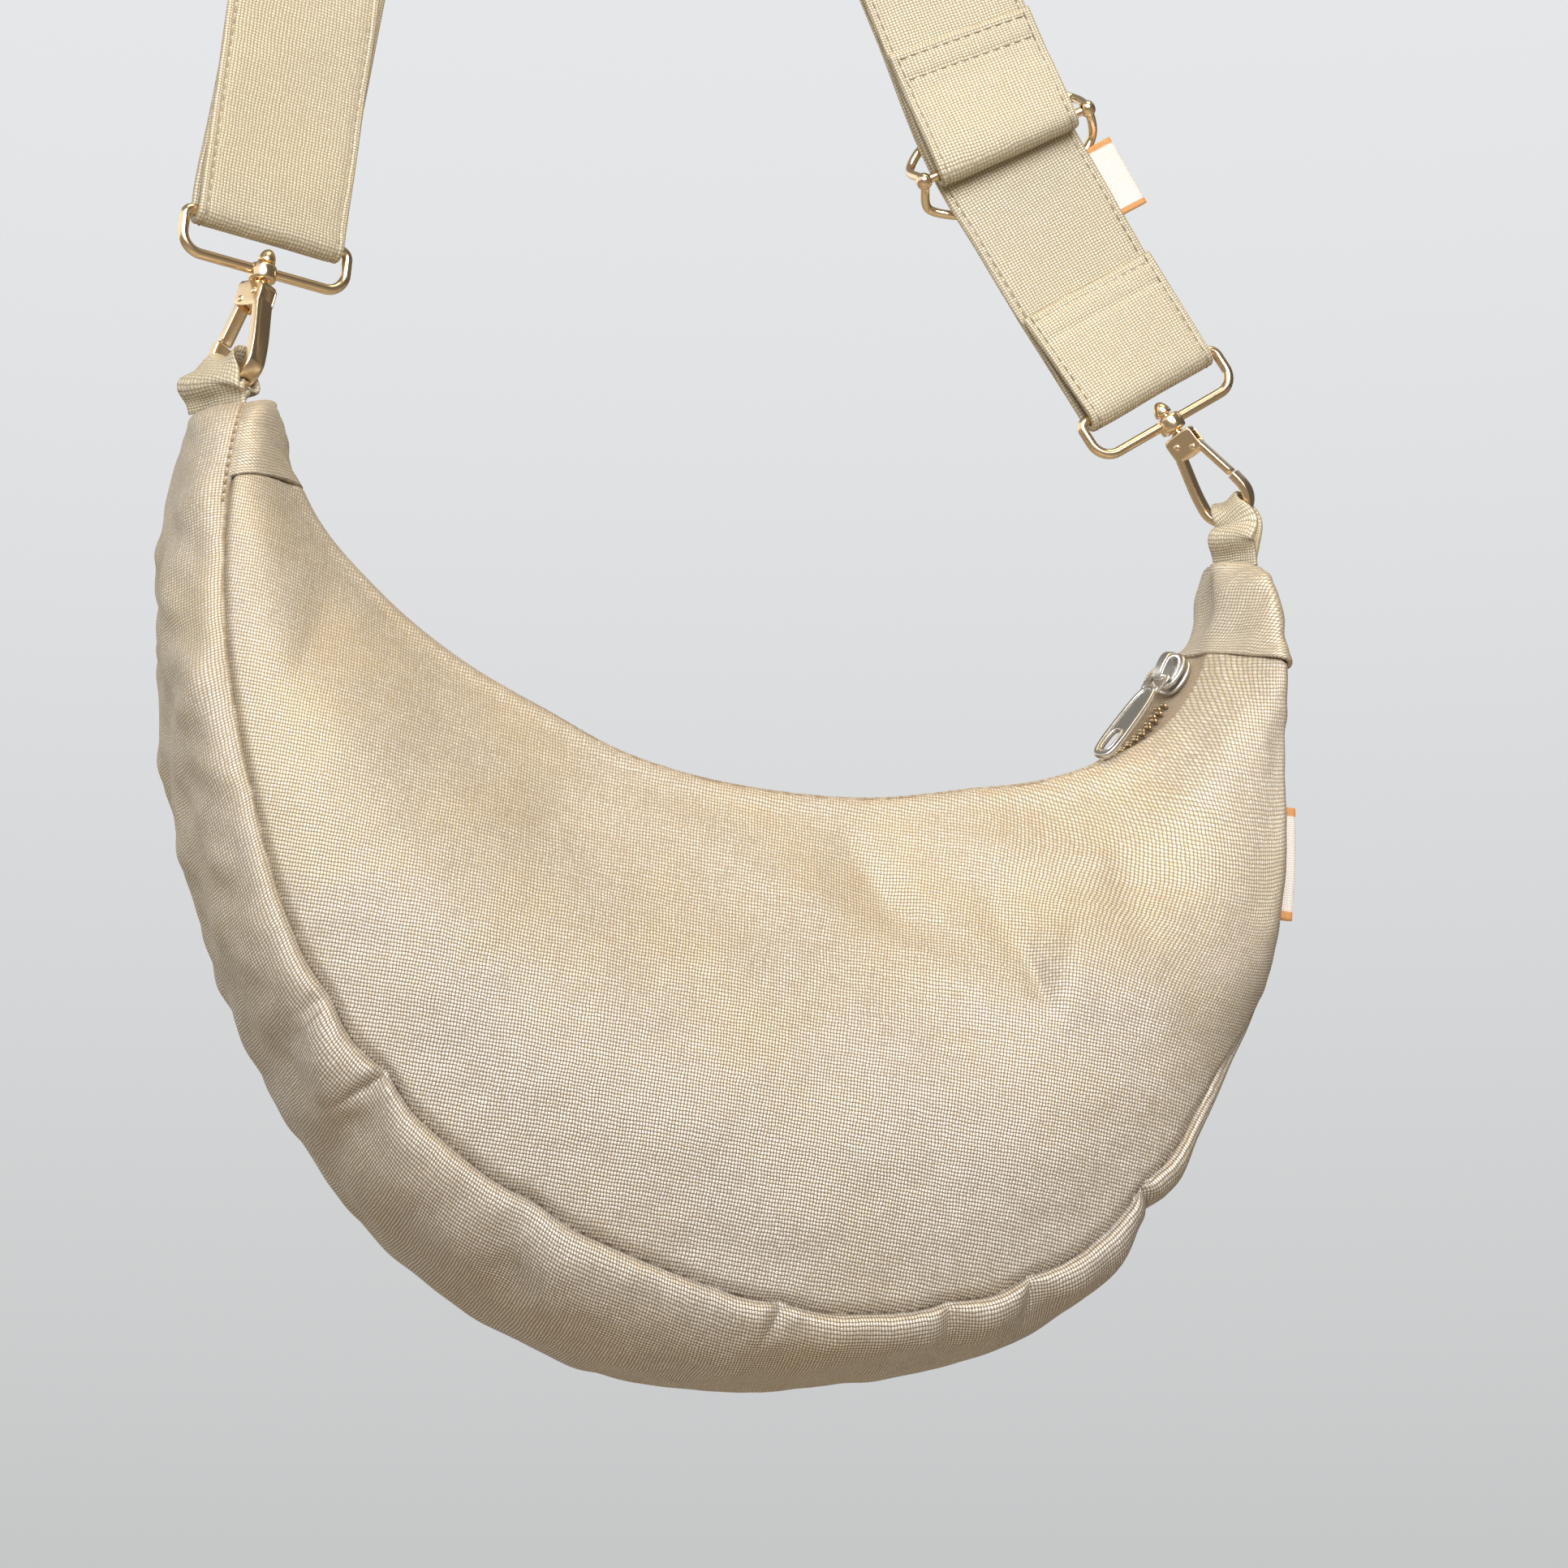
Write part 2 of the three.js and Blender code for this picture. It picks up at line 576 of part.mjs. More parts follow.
function pullPlace() {
  const pin = new THREE.Vector3(PIN_AHEAD, 0, PIN_HEIGHT).applyMatrix4(sliderPlace);
  let angle = SLIDER_ANGLE;
  let rest = pin.clone();
  while (rest.distanceTo(pin) < PULL_LENGTH) {
    angle -= 0.05;
    const rise = GAP + CHAIN_HEIGHT + PULL_REST + PULL_THICKNESS / 2;
    rest = skinPoint(angle, 3.5).addScaledVector(skinNormal(angle, 3.5), rise);
  }
  const back = new THREE.Vector3().setFromMatrixColumn(sliderPlace, 1);
  const ahead = rest.sub(pin).projectOnPlane(back).normalize();
  const out = ahead.clone().cross(back);
  return new THREE.Matrix4().makeBasis(ahead, back, out).setPosition(pin);
}
addPiece(bag, "zip_pull", pullTab(), silver).applyMatrix4(pullPlace());

// Strap rings and hooks: X along the ring's bars, Z up the strap's leg.
const BACK = new THREE.Vector3(0, 1, 0);

// Axes of a piece that hangs at a lean and is turned about its own length.
function hangingFrame(place, lean, twist) {
  const down = THREE.MathUtils.degToRad(lean);
  const up = new THREE.Vector3(-Math.sin(down), 0, Math.cos(down));
  const across = BACK.clone().cross(up).applyAxisAngle(up, THREE.MathUtils.degToRad(twist));
  const back = up.clone().cross(across);
  return { place, up, across, back, matrix: new THREE.Matrix4().makeBasis(across, back, up).setPosition(place) };
}

// A ring's axes start at its centre, a hook's at the same centre but turned about the ring's boss.
function legFrames({ ring, lean, twist, hookLean, hookTwist }) {
  const leg = hangingFrame(ring, lean, twist);
  const hook = hangingFrame(ring, hookLean, hookTwist);
  const boss = ring.clone().addScaledVector(leg.up, -BOSS_DEPTH);
  const centre = boss.addScaledVector(hook.up, BOSS_DEPTH);
  return { leg: { ...leg, ring }, hook: hangingFrame(centre, hookLean, hookTwist) };
}
const { leg: leftLeg, hook: leftHook } = legFrames(LEFT_END);
const { leg: rightLeg, hook: rightHook } = legFrames(RIGHT_END);

// Points of a ring in the XZ plane: a rectangle with small corners above and wide ones below.
function ringPoints() {
  const at = (x, z) => new THREE.Vector3(x, 0, z);
  const wide = RING_HALF_WIDTH;
  const high = RING_HALF_HEIGHT;
  const top = RING_TOP_CORNER;
  const foot = RING_FOOT_CORNER;
  const corners = [
    [at(wide, high - top), at(wide, high), at(wide - top, high)],
    [at(top - wide, high), at(-wide, high), at(-wide, high - top)],
    [at(-wide, foot - high), at(-wide, -high), at(foot - wide, -high)],
    [at(wide - foot, -high), at(wide, -high), at(wide, foot - high)],
  ];
  return corners.flatMap((bend) => new THREE.QuadraticBezierCurve3(...bend).getPoints(4));
}

// Bar bent flat in the XZ plane along points, with a rounded section.
function flatBar(points, thickness, breadth, sides, closed) {
  const count = points.length;
  const rings = points.map((point, i) => {
    const before = points[closed ? (i + count - 1) % count : Math.max(i - 1, 0)];
    const after = points[closed ? (i + 1) % count : Math.min(i + 1, count - 1)];
    const out = after.clone().sub(before).normalize().cross(BACK);
    return Array.from({ length: sides }, (_, j) => {
      const turn = (2 * Math.PI * (j + 0.5)) / sides;
      return point
        .clone()
        .addScaledVector(out, 0.5 * thickness * Math.cos(turn))
        .addScaledVector(BACK, 0.5 * breadth * Math.sin(turn));
    });
  });
  return loft(rings, closed);
}

function strapRing() {
  const loop = flatBar(ringPoints(), 2 * WIRE, 2 * WIRE, 8, true);
  const boss = pinAlongZ(BOSS_WIDTH / 2, BOSS_HEIGHT, 14).translate(0, 0, -BOSS_DEPTH);
  const bore = pinAlongZ(STEM + STEM_PLAY, BOSS_HEIGHT + 4, 12).translate(0, 0, -BOSS_DEPTH);
  return cut(join(loop, boss), bore);
}

// Hook body with the gate on the side given: rivet head, stem, neck, shank, bend and nose.
function hookBody(side) {
  const headFoot = -BOSS_DEPTH + BOSS_HEIGHT / 2 + 2 * GAP;
  const head = ball(RIVET_HEAD).scale(1, 1, 0.8).translate(0, 0, headFoot + 0.8 * RIVET_HEAD);
  const stem = pinAlongZ(STEM, headFoot + NECK_TOP + 2, 10).translate(0, 0, (headFoot - NECK_TOP) / 2);
  const neck = box(NECK_WIDTH, NECK_THICKNESS, NECK_LENGTH).translate(0, 0, -NECK_TOP - NECK_LENGTH / 2);
  const slotWidth = NECK_WIDTH - GATE_THICKNESS;
  const slot = box(slotWidth, GATE_BREADTH + 2 * GAP, NECK_LENGTH).translate(
    side * (GATE_OFFSET - GATE_THICKNESS / 2 - GATE_SWEEP + slotWidth / 2),
    0,
    -NECK_TOP - NECK_LENGTH / 2 - 1.6,
  );
  const points = [];
  points.push(new THREE.Vector3(-side * 2.4, 0, -NECK_TOP - 3));
  points.push(new THREE.Vector3(-side * 3.4, 0, -NECK_TOP - NECK_LENGTH));
  points.push(new THREE.Vector3(-side * BEND_RADIUS * 0.97, 0, -BEND_DEPTH + 2));
  for (let turn = 0; turn <= 180; turn += 20) {
    const angle = THREE.MathUtils.degToRad(turn);
    const x = -side * BEND_RADIUS * Math.cos(angle);
    points.push(new THREE.Vector3(x, 0, -BEND_DEPTH - BEND_RADIUS * Math.sin(angle)));
  }
  points.push(new THREE.Vector3(side * BEND_RADIUS * 0.93, 0, -NOSE_TOP));
  const bend = flatBar(points, HOOK_THICKNESS, HOOK_BREADTH, 8, false);
  return join(cut(join(neck, stem), slot), head, bend);
}

// Gate in its closed place: a straight bar from its pivot in the neck to the nose.
function gateBar(side) {
  const pivot = new THREE.Vector3(side * GATE_OFFSET, 0, -GATE_PIVOT);
  const tip = new THREE.Vector3(side * BEND_RADIUS * 0.9, 0, -NOSE_TOP + 1.6 * GAP);
  const ahead = tip.clone().sub(pivot).normalize();
  const start = pivot.clone().addScaledVector(ahead, -GATE_THICKNESS / 2);
  return flatBar([start, tip], GATE_THICKNESS, GATE_BREADTH, 8, false);
}

for (const [name, leg, hook, side] of [
  ["left", leftLeg, leftHook, -1],
  ["right", rightLeg, rightHook, 1],
]) {
  addPiece(object, `ring_${name}`, strapRing(), paleGold).applyMatrix4(leg.matrix);
  addPiece(object, `hook_${name}`, hookBody(side), paleGold).applyMatrix4(hook.matrix);
  addPiece(object, `gate_${name}`, gateBar(side), paleGold).applyMatrix4(hook.matrix);
}

// Strap: a strip through stations, each with a place, a direction across, a width and a thickness.
function strip(rows) {
  const rings = rows.map((row, i) => {
    const before = rows[Math.max(i - 1, 0)].at;
    const after = rows[Math.min(i + 1, rows.length - 1)].at;
    const ahead = after.clone().sub(before).normalize();
    const across = row.across.clone().addScaledVector(ahead, -row.across.dot(ahead)).normalize();
    const out = across.clone().cross(ahead);
    const corner = (a, b) =>
      row.at
        .clone()
        .addScaledVector(across, a * 0.5 * row.width)
        .addScaledVector(out, b * 0.5 * row.thickness);
    return [corner(1, 1), corner(-1, 1), corner(-1, -1), corner(1, -1)];
  });
  return loft(rings, false);
}

const station = (at, across, width = STRAP_WIDTH, thickness = STRAP) => ({ at, across, width, thickness });

// Stations round a bar, from its front over its underside to its back, or the other way.
function roundBar(centre, leg, radius, width, toFront) {
  const rows = [];
  for (let turn = -75; turn <= 75; turn += 30) {
    const angle = THREE.MathUtils.degToRad(toFront ? -turn : turn);
    const at = centre
      .clone()
      .addScaledVector(leg.back, radius * Math.sin(angle))
      .addScaledVector(leg.up, -radius * Math.cos(angle));
    rows.push(station(at, leg.across, width));
  }
  return rows;
}

// Stations along a straight stretch; the ends are left out where another stretch gives them.
function straight(from, to, steps, widthFrom, widthTo, slip = 0) {
  return Array.from({ length: steps + 1 }, (_, i) => {
    const t = i / steps;
    const across = from.across.clone().lerp(to.across, t).normalize();
    const at = from.at.clone().lerp(to.at, t).addScaledVector(across, slip * Math.sin(Math.PI * t));
    return station(at, across, widthFrom + (widthTo - widthFrom) * t);
  });
}

// Hanging place: both legs meet a round peg at equal angles, so the strap runs over it without a crease.
const toTop = (leg) => leg.ring.clone().negate().normalize();
const upMiddle = toTop(leftLeg).add(toTop(rightLeg)).normalize();
const pegAxis = BACK.clone().cross(upMiddle).normalize();
const pegCentre = upMiddle.clone().multiplyScalar(-PEG_RADIUS);
const legLean = 0.5 * toTop(leftLeg).angleTo(toTop(rightLeg));

function overPeg(radius, toBack) {
  const rows = [];
  for (let turn = -90; turn <= 90; turn += 18) {
    const angle = THREE.MathUtils.degToRad(turn);
    const at = pegCentre
      .clone()
      .addScaledVector(BACK, radius * Math.sin(angle))
      .addScaledVector(upMiddle, radius * Math.cos(angle))
      .addScaledVector(pegAxis, -radius * angle * Math.tan(legLean));
    rows.push(station(at, pegAxis));
  }
  return toBack ? rows : rows.reverse();
}

const innerRadius = PEG_RADIUS + STRAP / 2;
const overInner = overPeg(innerRadius, true);
const overOuter = overPeg(innerRadius + LAYER, false);
const barRadius = WIRE + GAP + STRAP / 2;
const ringBar = (leg) => leg.ring.clone().addScaledVector(leg.up, RING_HALF_HEIGHT);
const besideBar = (leg, toBack, height) =>
  ringBar(leg).addScaledVector(leg.back, toBack * barRadius).addScaledVector(leg.up, height);

// Right leg's places, counted down from its bend; the sewn end lies in front and the long run behind it.
const rightFoot = station(besideBar(rightLeg, 1, 3), rightLeg.across);
const rightTop = station(overInner[0].at, pegAxis);
const lowerUp = RIGHT_BEND.clone().sub(rightFoot.at).normalize();
const upperUp = rightTop.at.clone().sub(RIGHT_BEND).normalize();
const lowerLength = RIGHT_BEND.distanceTo(rightFoot.at);
const alongLeg = (up, twist) => {
  const across = BACK.clone().cross(up).normalize().applyAxisAngle(up, THREE.MathUtils.degToRad(twist));
  return { up, across, back: up.clone().cross(across) };
};
const run = alongLeg(lowerUp.clone().add(upperUp).normalize(), BEND_TWIST);
const twistAt = (below) => BEND_TWIST * THREE.MathUtils.clamp(1 - below / lowerLength, 0, 1);
const onRightLeg = (below, forward) => {
  const { up, across, back } = alongLeg(below > 0 ? lowerUp : upperUp, twistAt(below));
  return station(RIGHT_BEND.clone().addScaledVector(up, -below).addScaledVector(back, -forward), across);
};
const atBend = station(RIGHT_BEND, run.across);
const adjusterBarRadius = ADJUSTER_WIRE + GAP + STRAP / 2;
const adjusterCentre = RIGHT_BEND.clone().addScaledVector(run.back, -LAYER - adjusterBarRadius);
const flapTopRight = onRightLeg(lowerLength - FLAP_RIGHT, LAYER);
const leftFront = station(besideBar(leftLeg, -1, 3), leftLeg.across);
const leftRear = station(besideBar(leftLeg, 1, 3), leftLeg.across);

function strapRows() {
  const rows = [];
  const sewnEndFoot = station(besideBar(rightLeg, -1, 3), rightLeg.across);
  rows.push(...straight(flapTopRight, sewnEndFoot, 5, STRAP_WIDTH, STRAP_AT_RING));
  rows.push(...roundBar(ringBar(rightLeg), rightLeg, barRadius, STRAP_AT_RING, false));
  const settled = onRightLeg(lowerLength - FLAP_RIGHT, 0);
  rows.push(...straight(rightFoot, settled, 4, STRAP_AT_RING, STRAP_WIDTH));
  rows.push(...straight(settled, atBend, 2, STRAP_WIDTH, STRAP_WIDTH).slice(1));
  rows.push(...straight(atBend, rightTop, 9, STRAP_WIDTH, STRAP_WIDTH).slice(1, -1));
  rows.push(...overInner);
  rows.push(...straight(overInner.at(-1), leftFront, 14, STRAP_WIDTH, STRAP_AT_RING).slice(1));
  rows.push(...roundBar(ringBar(leftLeg), leftLeg, barRadius, STRAP_AT_RING, false));
  rows.push(...straight(leftRear, overOuter[0], 14, STRAP_AT_RING, STRAP_WIDTH, LAYER_SLIP).slice(0, -1));
  rows.push(...overOuter);
  const behindBar = onRightLeg(-2, LAYER);
  rows.push(...straight(overOuter.at(-1), behindBar, 9, STRAP_WIDTH, STRAP_WIDTH).slice(1));
  rows.push(...roundBar(adjusterCentre, run, adjusterBarRadius, STRAP_WIDTH, true));
  const frontOfBar = onRightLeg(-3, LAYER + 2 * adjusterBarRadius);
  const flapStart = onRightLeg(-22, 2 * LAYER);
  const flapEnd = onRightLeg(-FLAP_ADJUSTER, 2 * LAYER);
  rows.push(...straight(frontOfBar, flapStart, 3, STRAP_WIDTH, STRAP_WIDTH));
  rows.push(...straight(flapStart, flapEnd, 2, STRAP_WIDTH, STRAP_WIDTH).slice(1));
  return rows;
}
addPiece(object, "strap", strip(strapRows()), plainLinen);

// Adjuster: the centre bar lies in front of the run, its two outer bars behind it.
function adjuster() {
  const behind = adjusterBarRadius + LAYER + STRAP / 2 + 2.5 * GAP + ADJUSTER_WIRE;
  const at = (x, y, z) => new THREE.Vector3(x, y, z);
  const side = (x) => [
    at(x * 0.8 * ADJUSTER_HALF_WIDTH, behind, -x * ADJUSTER_HALF_HEIGHT),
    at(x * ADJUSTER_HALF_WIDTH, behind - 0.6, -x * 0.62 * ADJUSTER_HALF_HEIGHT),
    at(x * ADJUSTER_HALF_WIDTH, 0, 0),
    at(x * ADJUSTER_HALF_WIDTH, behind - 0.6, x * 0.62 * ADJUSTER_HALF_HEIGHT),
    at(x * 0.8 * ADJUSTER_HALF_WIDTH, behind, x * ADJUSTER_HALF_HEIGHT),
  ];
  const middle = (z) => [at(-z * 8, behind, z * ADJUSTER_HALF_HEIGHT)];
  const path = [...side(1), ...middle(1), ...side(-1), ...middle(-1)];
  const frame = wire(new THREE.CatmullRomCurve3(path, true, "centripetal"), 36, ADJUSTER_WIRE, 6, true);
  const bar = pinAlongX(ADJUSTER_WIRE, 2 * ADJUSTER_HALF_WIDTH, 10);
  const knob = (x) => ball(ADJUSTER_KNOB).translate(x * ADJUSTER_HALF_WIDTH, 0, 0);
  return join(frame, bar, knob(1), knob(-1));
}
const adjusterPlace = new THREE.Matrix4().makeBasis(run.across, run.back, run.up).setPosition(adjusterCentre);
addPiece(object, "strap_adjuster", adjuster(), paleGold).applyMatrix4(adjusterPlace);

// Loops: a band sewn into each tip that rises over the hook's bend and comes down again.
function loopBand(hook, tipAngle, outward, slope) {
  bag.updateMatrixWorld(true);
  const tip = skinPoint(tipAngle, 0).lerp(skinPoint(tipAngle, 1.5), outward);
  tip.applyMatrix4(bag.matrixWorld);
  const inside = BEND_RADIUS - HOOK_THICKNESS / 2;
  const clearOfBend = inside - Math.sqrt(inside ** 2 - (LOOP_GATHERED / 2 + GAP) ** 2);
  const crownHeight = -BEND_DEPTH - inside + clearOfBend + GAP + LOOP_GATHERED_THICKNESS / 2;
  const crown = hook.place.clone().addScaledVector(hook.up, crownHeight);
  const tipUp = new THREE.Vector3(-slope, 0, 1).transformDirection(bag.matrixWorld);
  tipUp.add(crown.clone().sub(tip).normalize()).normalize();
  const foot = tip.clone().addScaledVector(tipUp, 6 * GAP);
  const side = hook.back.clone().addScaledVector(tipUp, -hook.back.dot(tipUp)).normalize();
  const height = crown.distanceTo(foot);
  const fromFoot = (offset, rise) => foot.clone().addScaledVector(side, offset).addScaledVector(tipUp, rise);
  const fromCrown = (offset, drop) =>
    crown.clone().addScaledVector(hook.back, offset).addScaledVector(hook.up, -drop);
  const half = (way) => [
    fromFoot(way * 0.55 * LOOP, 0),
    fromFoot(way * 0.6 * LOOP, 0.1 * height),
    fromFoot(way * 0.85 * LOOP_BULGE, 0.34 * height),
    fromCrown(way * LOOP_BULGE, 0.36 * height),
    fromCrown(way * 0.75 * LOOP_BULGE, 0.1 * height),
  ];
  const curve = new THREE.CatmullRomCurve3([...half(-1), crown, ...half(1).reverse()], false, "centripetal");
  const steps = 24;
  const footAcross = hook.across.clone().addScaledVector(tipUp, -hook.across.dot(tipUp)).normalize();
  return strip(
    Array.from({ length: steps + 1 }, (_, i) => {
      const t = i / steps;
      const gather = Math.sin(Math.PI * t) ** 1.2;
      const width = LOOP_WIDTH + (LOOP_GATHERED - LOOP_WIDTH) * gather;
      const across = footAcross.clone().lerp(hook.across, gather);
      return station(curve.getPointAt(t), across, width, LOOP + (LOOP_GATHERED_THICKNESS - LOOP) * gather);
    }),
  );
}
addPiece(object, "loop_left", loopBand(leftHook, TIP_START, 0.7, TIP_SLANT), plainLinen);
addPiece(object, "loop_right", loopBand(rightHook, TIP_END, 0.6, 0), plainLinen);

// Blank tabs: one stands out of the bag's right front seam, one out of the strap's right edge.
function bagTab() {
  const angles = stations(BAG_TAB.from, BAG_TAB.to, 5);
  const rings = angles.map((angle) => {
    const root = skinPoint(angle, BAG_TAB.band);
    const out = skinNormal(angle, BAG_TAB.band);
    const along = skinPoint(angle + 1, BAG_TAB.band).sub(root).normalize();
    const thick = along.clone().cross(out).normalize();
    const corner = (reach, half) =>
      root.clone().addScaledVector(out, GAP + reach).addScaledVector(thick, half * TAB);
    return [corner(0, 0.5), corner(BAG_TAB.reach, 0.5), corner(BAG_TAB.reach, -0.5), corner(0, -0.5)];
  });
  return loft(rings, false);
}
addPiece(bag, "label_bag", bagTab(), tabCloth);

function strapTab() {
  const { at: middle, across } = onRightLeg(STRAP_TAB.belowAdjuster, 0);
  middle.addScaledVector(across, STRAP_WIDTH / 2 + GAP + STRAP_TAB.reach / 2);
  return { geometry: box(STRAP_TAB.reach, TAB, STRAP_TAB.length), middle };
}
const tab = strapTab();
const { across: tabAcross, back: tabBack, up: tabUp } = alongLeg(lowerUp, twistAt(STRAP_TAB.belowAdjuster));
const tabPlace = new THREE.Matrix4().makeBasis(tabAcross, tabBack, tabUp).setPosition(tab.middle);
addPiece(object, "label_strap", tab.geometry, tabCloth).applyMatrix4(tabPlace);

export default object;
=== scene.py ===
import math

import bpy
import numpy as np
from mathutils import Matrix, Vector


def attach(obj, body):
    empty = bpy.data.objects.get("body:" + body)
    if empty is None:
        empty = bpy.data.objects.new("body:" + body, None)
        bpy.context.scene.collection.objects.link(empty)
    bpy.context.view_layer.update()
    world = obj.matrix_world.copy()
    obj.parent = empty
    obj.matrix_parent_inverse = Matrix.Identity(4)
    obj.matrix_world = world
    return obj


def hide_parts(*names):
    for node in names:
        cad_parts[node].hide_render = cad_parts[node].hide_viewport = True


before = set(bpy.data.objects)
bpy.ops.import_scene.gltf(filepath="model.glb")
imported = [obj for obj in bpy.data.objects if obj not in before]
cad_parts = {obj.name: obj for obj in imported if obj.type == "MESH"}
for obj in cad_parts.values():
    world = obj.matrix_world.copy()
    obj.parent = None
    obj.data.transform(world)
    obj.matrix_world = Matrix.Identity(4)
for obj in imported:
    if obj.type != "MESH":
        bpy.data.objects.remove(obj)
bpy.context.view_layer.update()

MM = 0.001
BODY = "bag_and_strap"
BACK = np.array([0.0, 1.0, 0.0])

# Sizes shared with the frame
CLOTH = 1.6
BAG_CENTRE = np.array([79.0, 0.0, -441.6])
BAG_ROLL = 4.5
ZIP_HALF = 7.0
ZIP_SAG = 1.4
TIP_DEPTH = 15.0
MIDDLE_DEPTH = 37.0
TIP_PUFF = 1.0
MIDDLE_PUFF = 8.0
GUSSET_SQUARENESS = 2.4
TIP_START = -0.5
TIP_END = 179.4
TIP_CLOSING = 4.5
TIP_SLIT = 0.25
TIP_SLANT = 0.3
TIP_SLANT_REACH = 18.0
PANEL_WRAP = 0.6
WRAP_START = 125.0
WRAP_FULL = 148.0
ZIP_LEAN = 5.0
LEAN_REACH = 11.0
LEAN_TO_TIP = 5.0
SLIDER_ANGLE = 164.0
SEAM_PUCKER = 0.3
CAP_LEFT = 10.0
CAP_RIGHT = 167.5

RIB_COLUMNS = ("angle", "zip", "seam", "skew", "drop")
RIBS = (
    (-5, 119, 123, 0, 13),
    (0, 119, 127, 0, 13),
    (12, 111, 133, 0, 13),
    (25, 99, 141, 0, 13.5),
    (40, 88, 154, 0, 15),
    (55, 80.5, 173, 0, 15),
    (70, 78.5, 190, 0, 20),
    (85, 78, 202, 0, 22),
    (100, 80, 212, 0, 12.5),
    (115, 85.5, 208, 1, 12.5),
    (130, 94, 184, 5, 6),
    (141, 105.5, 171.5, 7.5, 4),
    (147, 112, 161, 8, 3),
    (158, 123, 145, 7, 3.5),
    (168, 125.5, 138.5, 5, 4),
    (180, 123, 132, 2, 5),
    (185, 123, 130, 1, 5),
)
RIB = {name: np.array([row[i] for row in RIBS], float) for i, name in enumerate(RIB_COLUMNS)}

# Dents of the front panel: angle, share from the zip to the seam, reach of both, depth
FRONT_DENTS = (
    (112, 0.24, 13, 0.17, 4.5),
    (128, 0.36, 7, 0.14, 2.5),
    (70, 0.22, 22, 0.16, 2.0),
    (28, 0.45, 8, 0.20, 1.5),
    (152, 0.50, 9, 0.20, 1.5),
)

# Puckers of the front seam: angle, depth, spread along the seam, reach across the gusset
PUCKERS = (
    (57.5, 1.8, 1.6, 0.50),
    (64.5, 4.0, 1.7, 0.40),
    (77.5, 3.0, 1.7, 0.40),
    (95.0, 2.0, 1.5, 0.25),
    (106.0, 2.0, 1.5, 0.25),
    (111.7, 2.2, 1.5, 0.25),
    (121.3, 2.6, 1.8, 0.40),
)

# Folds of the front panel: both ends as angle and share, half width in mm, height (below 0 a crease)
PANEL_FOLDS = (
    (122.5, 0.43, 120.8, 0.57, 2.6, -1.8),
    (131.0, 0.40, 122.0, 0.60, 5.0, 1.3),
    (141.0, 0.10, 131.0, 0.40, 5.0, 1.3),
    (139.0, 0.20, 133.5, 0.50, 6.0, -1.2),
    (109.0, 0.09, 112.5, 0.29, 5.5, -1.5),
    (113.0, 0.14, 118.0, 0.34, 6.0, 0.9),
    (123.5, 0.25, 121.5, 0.48, 6.0, -1.4),
    (101.0, 0.22, 118.0, 0.50, 7.0, 1.3),
    (121.0, 0.57, 136.0, 0.46, 8.0, 1.0),
    (136.0, 0.44, 156.0, 0.24, 8.0, 1.2),
    (72.0, 0.10, 101.0, 0.22, 10.0, 0.8),
    (24.0, 0.30, 34.0, 0.72, 6.0, -0.7),
)

# Turn of the front panel on the right arm: share from the zip, reach, how far it moves to the back
ARM_TURN = (
    (0.20, 0.14, -2.5),
    (0.68, 0.20, 4.5),
)

# Creases that run from the front seam over the gusset: angle, depth, length and drift along the seam in mm
GUSSET_CREASES = (
    (57.8, 0.4, 12, -5.0),
    (64.6, 1.5, 15, -7.0),
    (95.0, 1.3, 10, -4.0),
    (105.9, 1.0, 8, -1.0),
    (111.6, 1.2, 10, -2.0),
    (121.2, 1.5, 14, 3.0),
)


def hump(distance):
    return np.exp(-np.square(distance))


def smooth_step(share):
    share = np.clip(share, 0, 1)
    return share * share * (3 - 2 * share)


def unit(vectors):
    return vectors / np.maximum(np.linalg.norm(vectors, axis=-1, keepdims=True), 1e-9)


def run_length(points):
    """Length along a row of points, from its start."""
    return np.concatenate([[0], np.cumsum(np.linalg.norm(np.diff(points, axis=0), axis=1))])


def across_length(grid):
    """Length across each row of a grid, from its first column."""
    steps = np.linalg.norm(np.diff(grid, axis=1), axis=2)
    return np.concatenate([np.zeros((len(grid), 1)), np.cumsum(steps, axis=1)], axis=1)


def points_at(at, run, points):
    """Points at given lengths along a way."""
    return np.stack([np.interp(at, run, points[:, k]) for k in range(3)], axis=-1)


def ripples(x, y, wavelength, seed, waves=9):
    """Uneven surface of about unit height, made of seeded plane waves of like length."""
    draw = np.random.default_rng(seed)
    total = 0.0
    for _ in range(waves):
        way, phase = draw.uniform(0, 2 * math.pi, 2)
        size = wavelength * draw.uniform(0.7, 1.5)
        total = total + np.sin(2 * math.pi * (x * math.cos(way) + y * math.sin(way)) / size + phase)
    return 0.7 * total / math.sqrt(waves)


def rippled(x, y, rows):
    """Sum of uneven surfaces: rows of height, wavelength and seed."""
    return sum(height * ripples(x, y, wavelength, seed) for height, wavelength, seed in rows)


# Form of the bag's skin


def rib_value(column, angle):
    """Value of a column of the ribs, on a smooth curve through its rows."""
    rows, values = RIB["angle"], RIB[column]
    slope = np.empty_like(values)
    slope[1:-1] = (values[2:] - values[:-2]) / (rows[2:] - rows[:-2])
    slope[0] = (values[1] - values[0]) / (rows[1] - rows[0])
    slope[-1] = (values[-1] - values[-2]) / (rows[-1] - rows[-2])
    i = np.clip(np.searchsorted(rows, angle, side="left") - 1, 0, len(rows) - 2)
    step = rows[i + 1] - rows[i]
    t = (angle - rows[i]) / step
    rise = values[i + 1] - values[i]
    bend = step * (slope[i] * (1 - t) - slope[i + 1] * t) - rise * (1 - 2 * t)
    return values[i] + rise * t + t * (1 - t) * bend


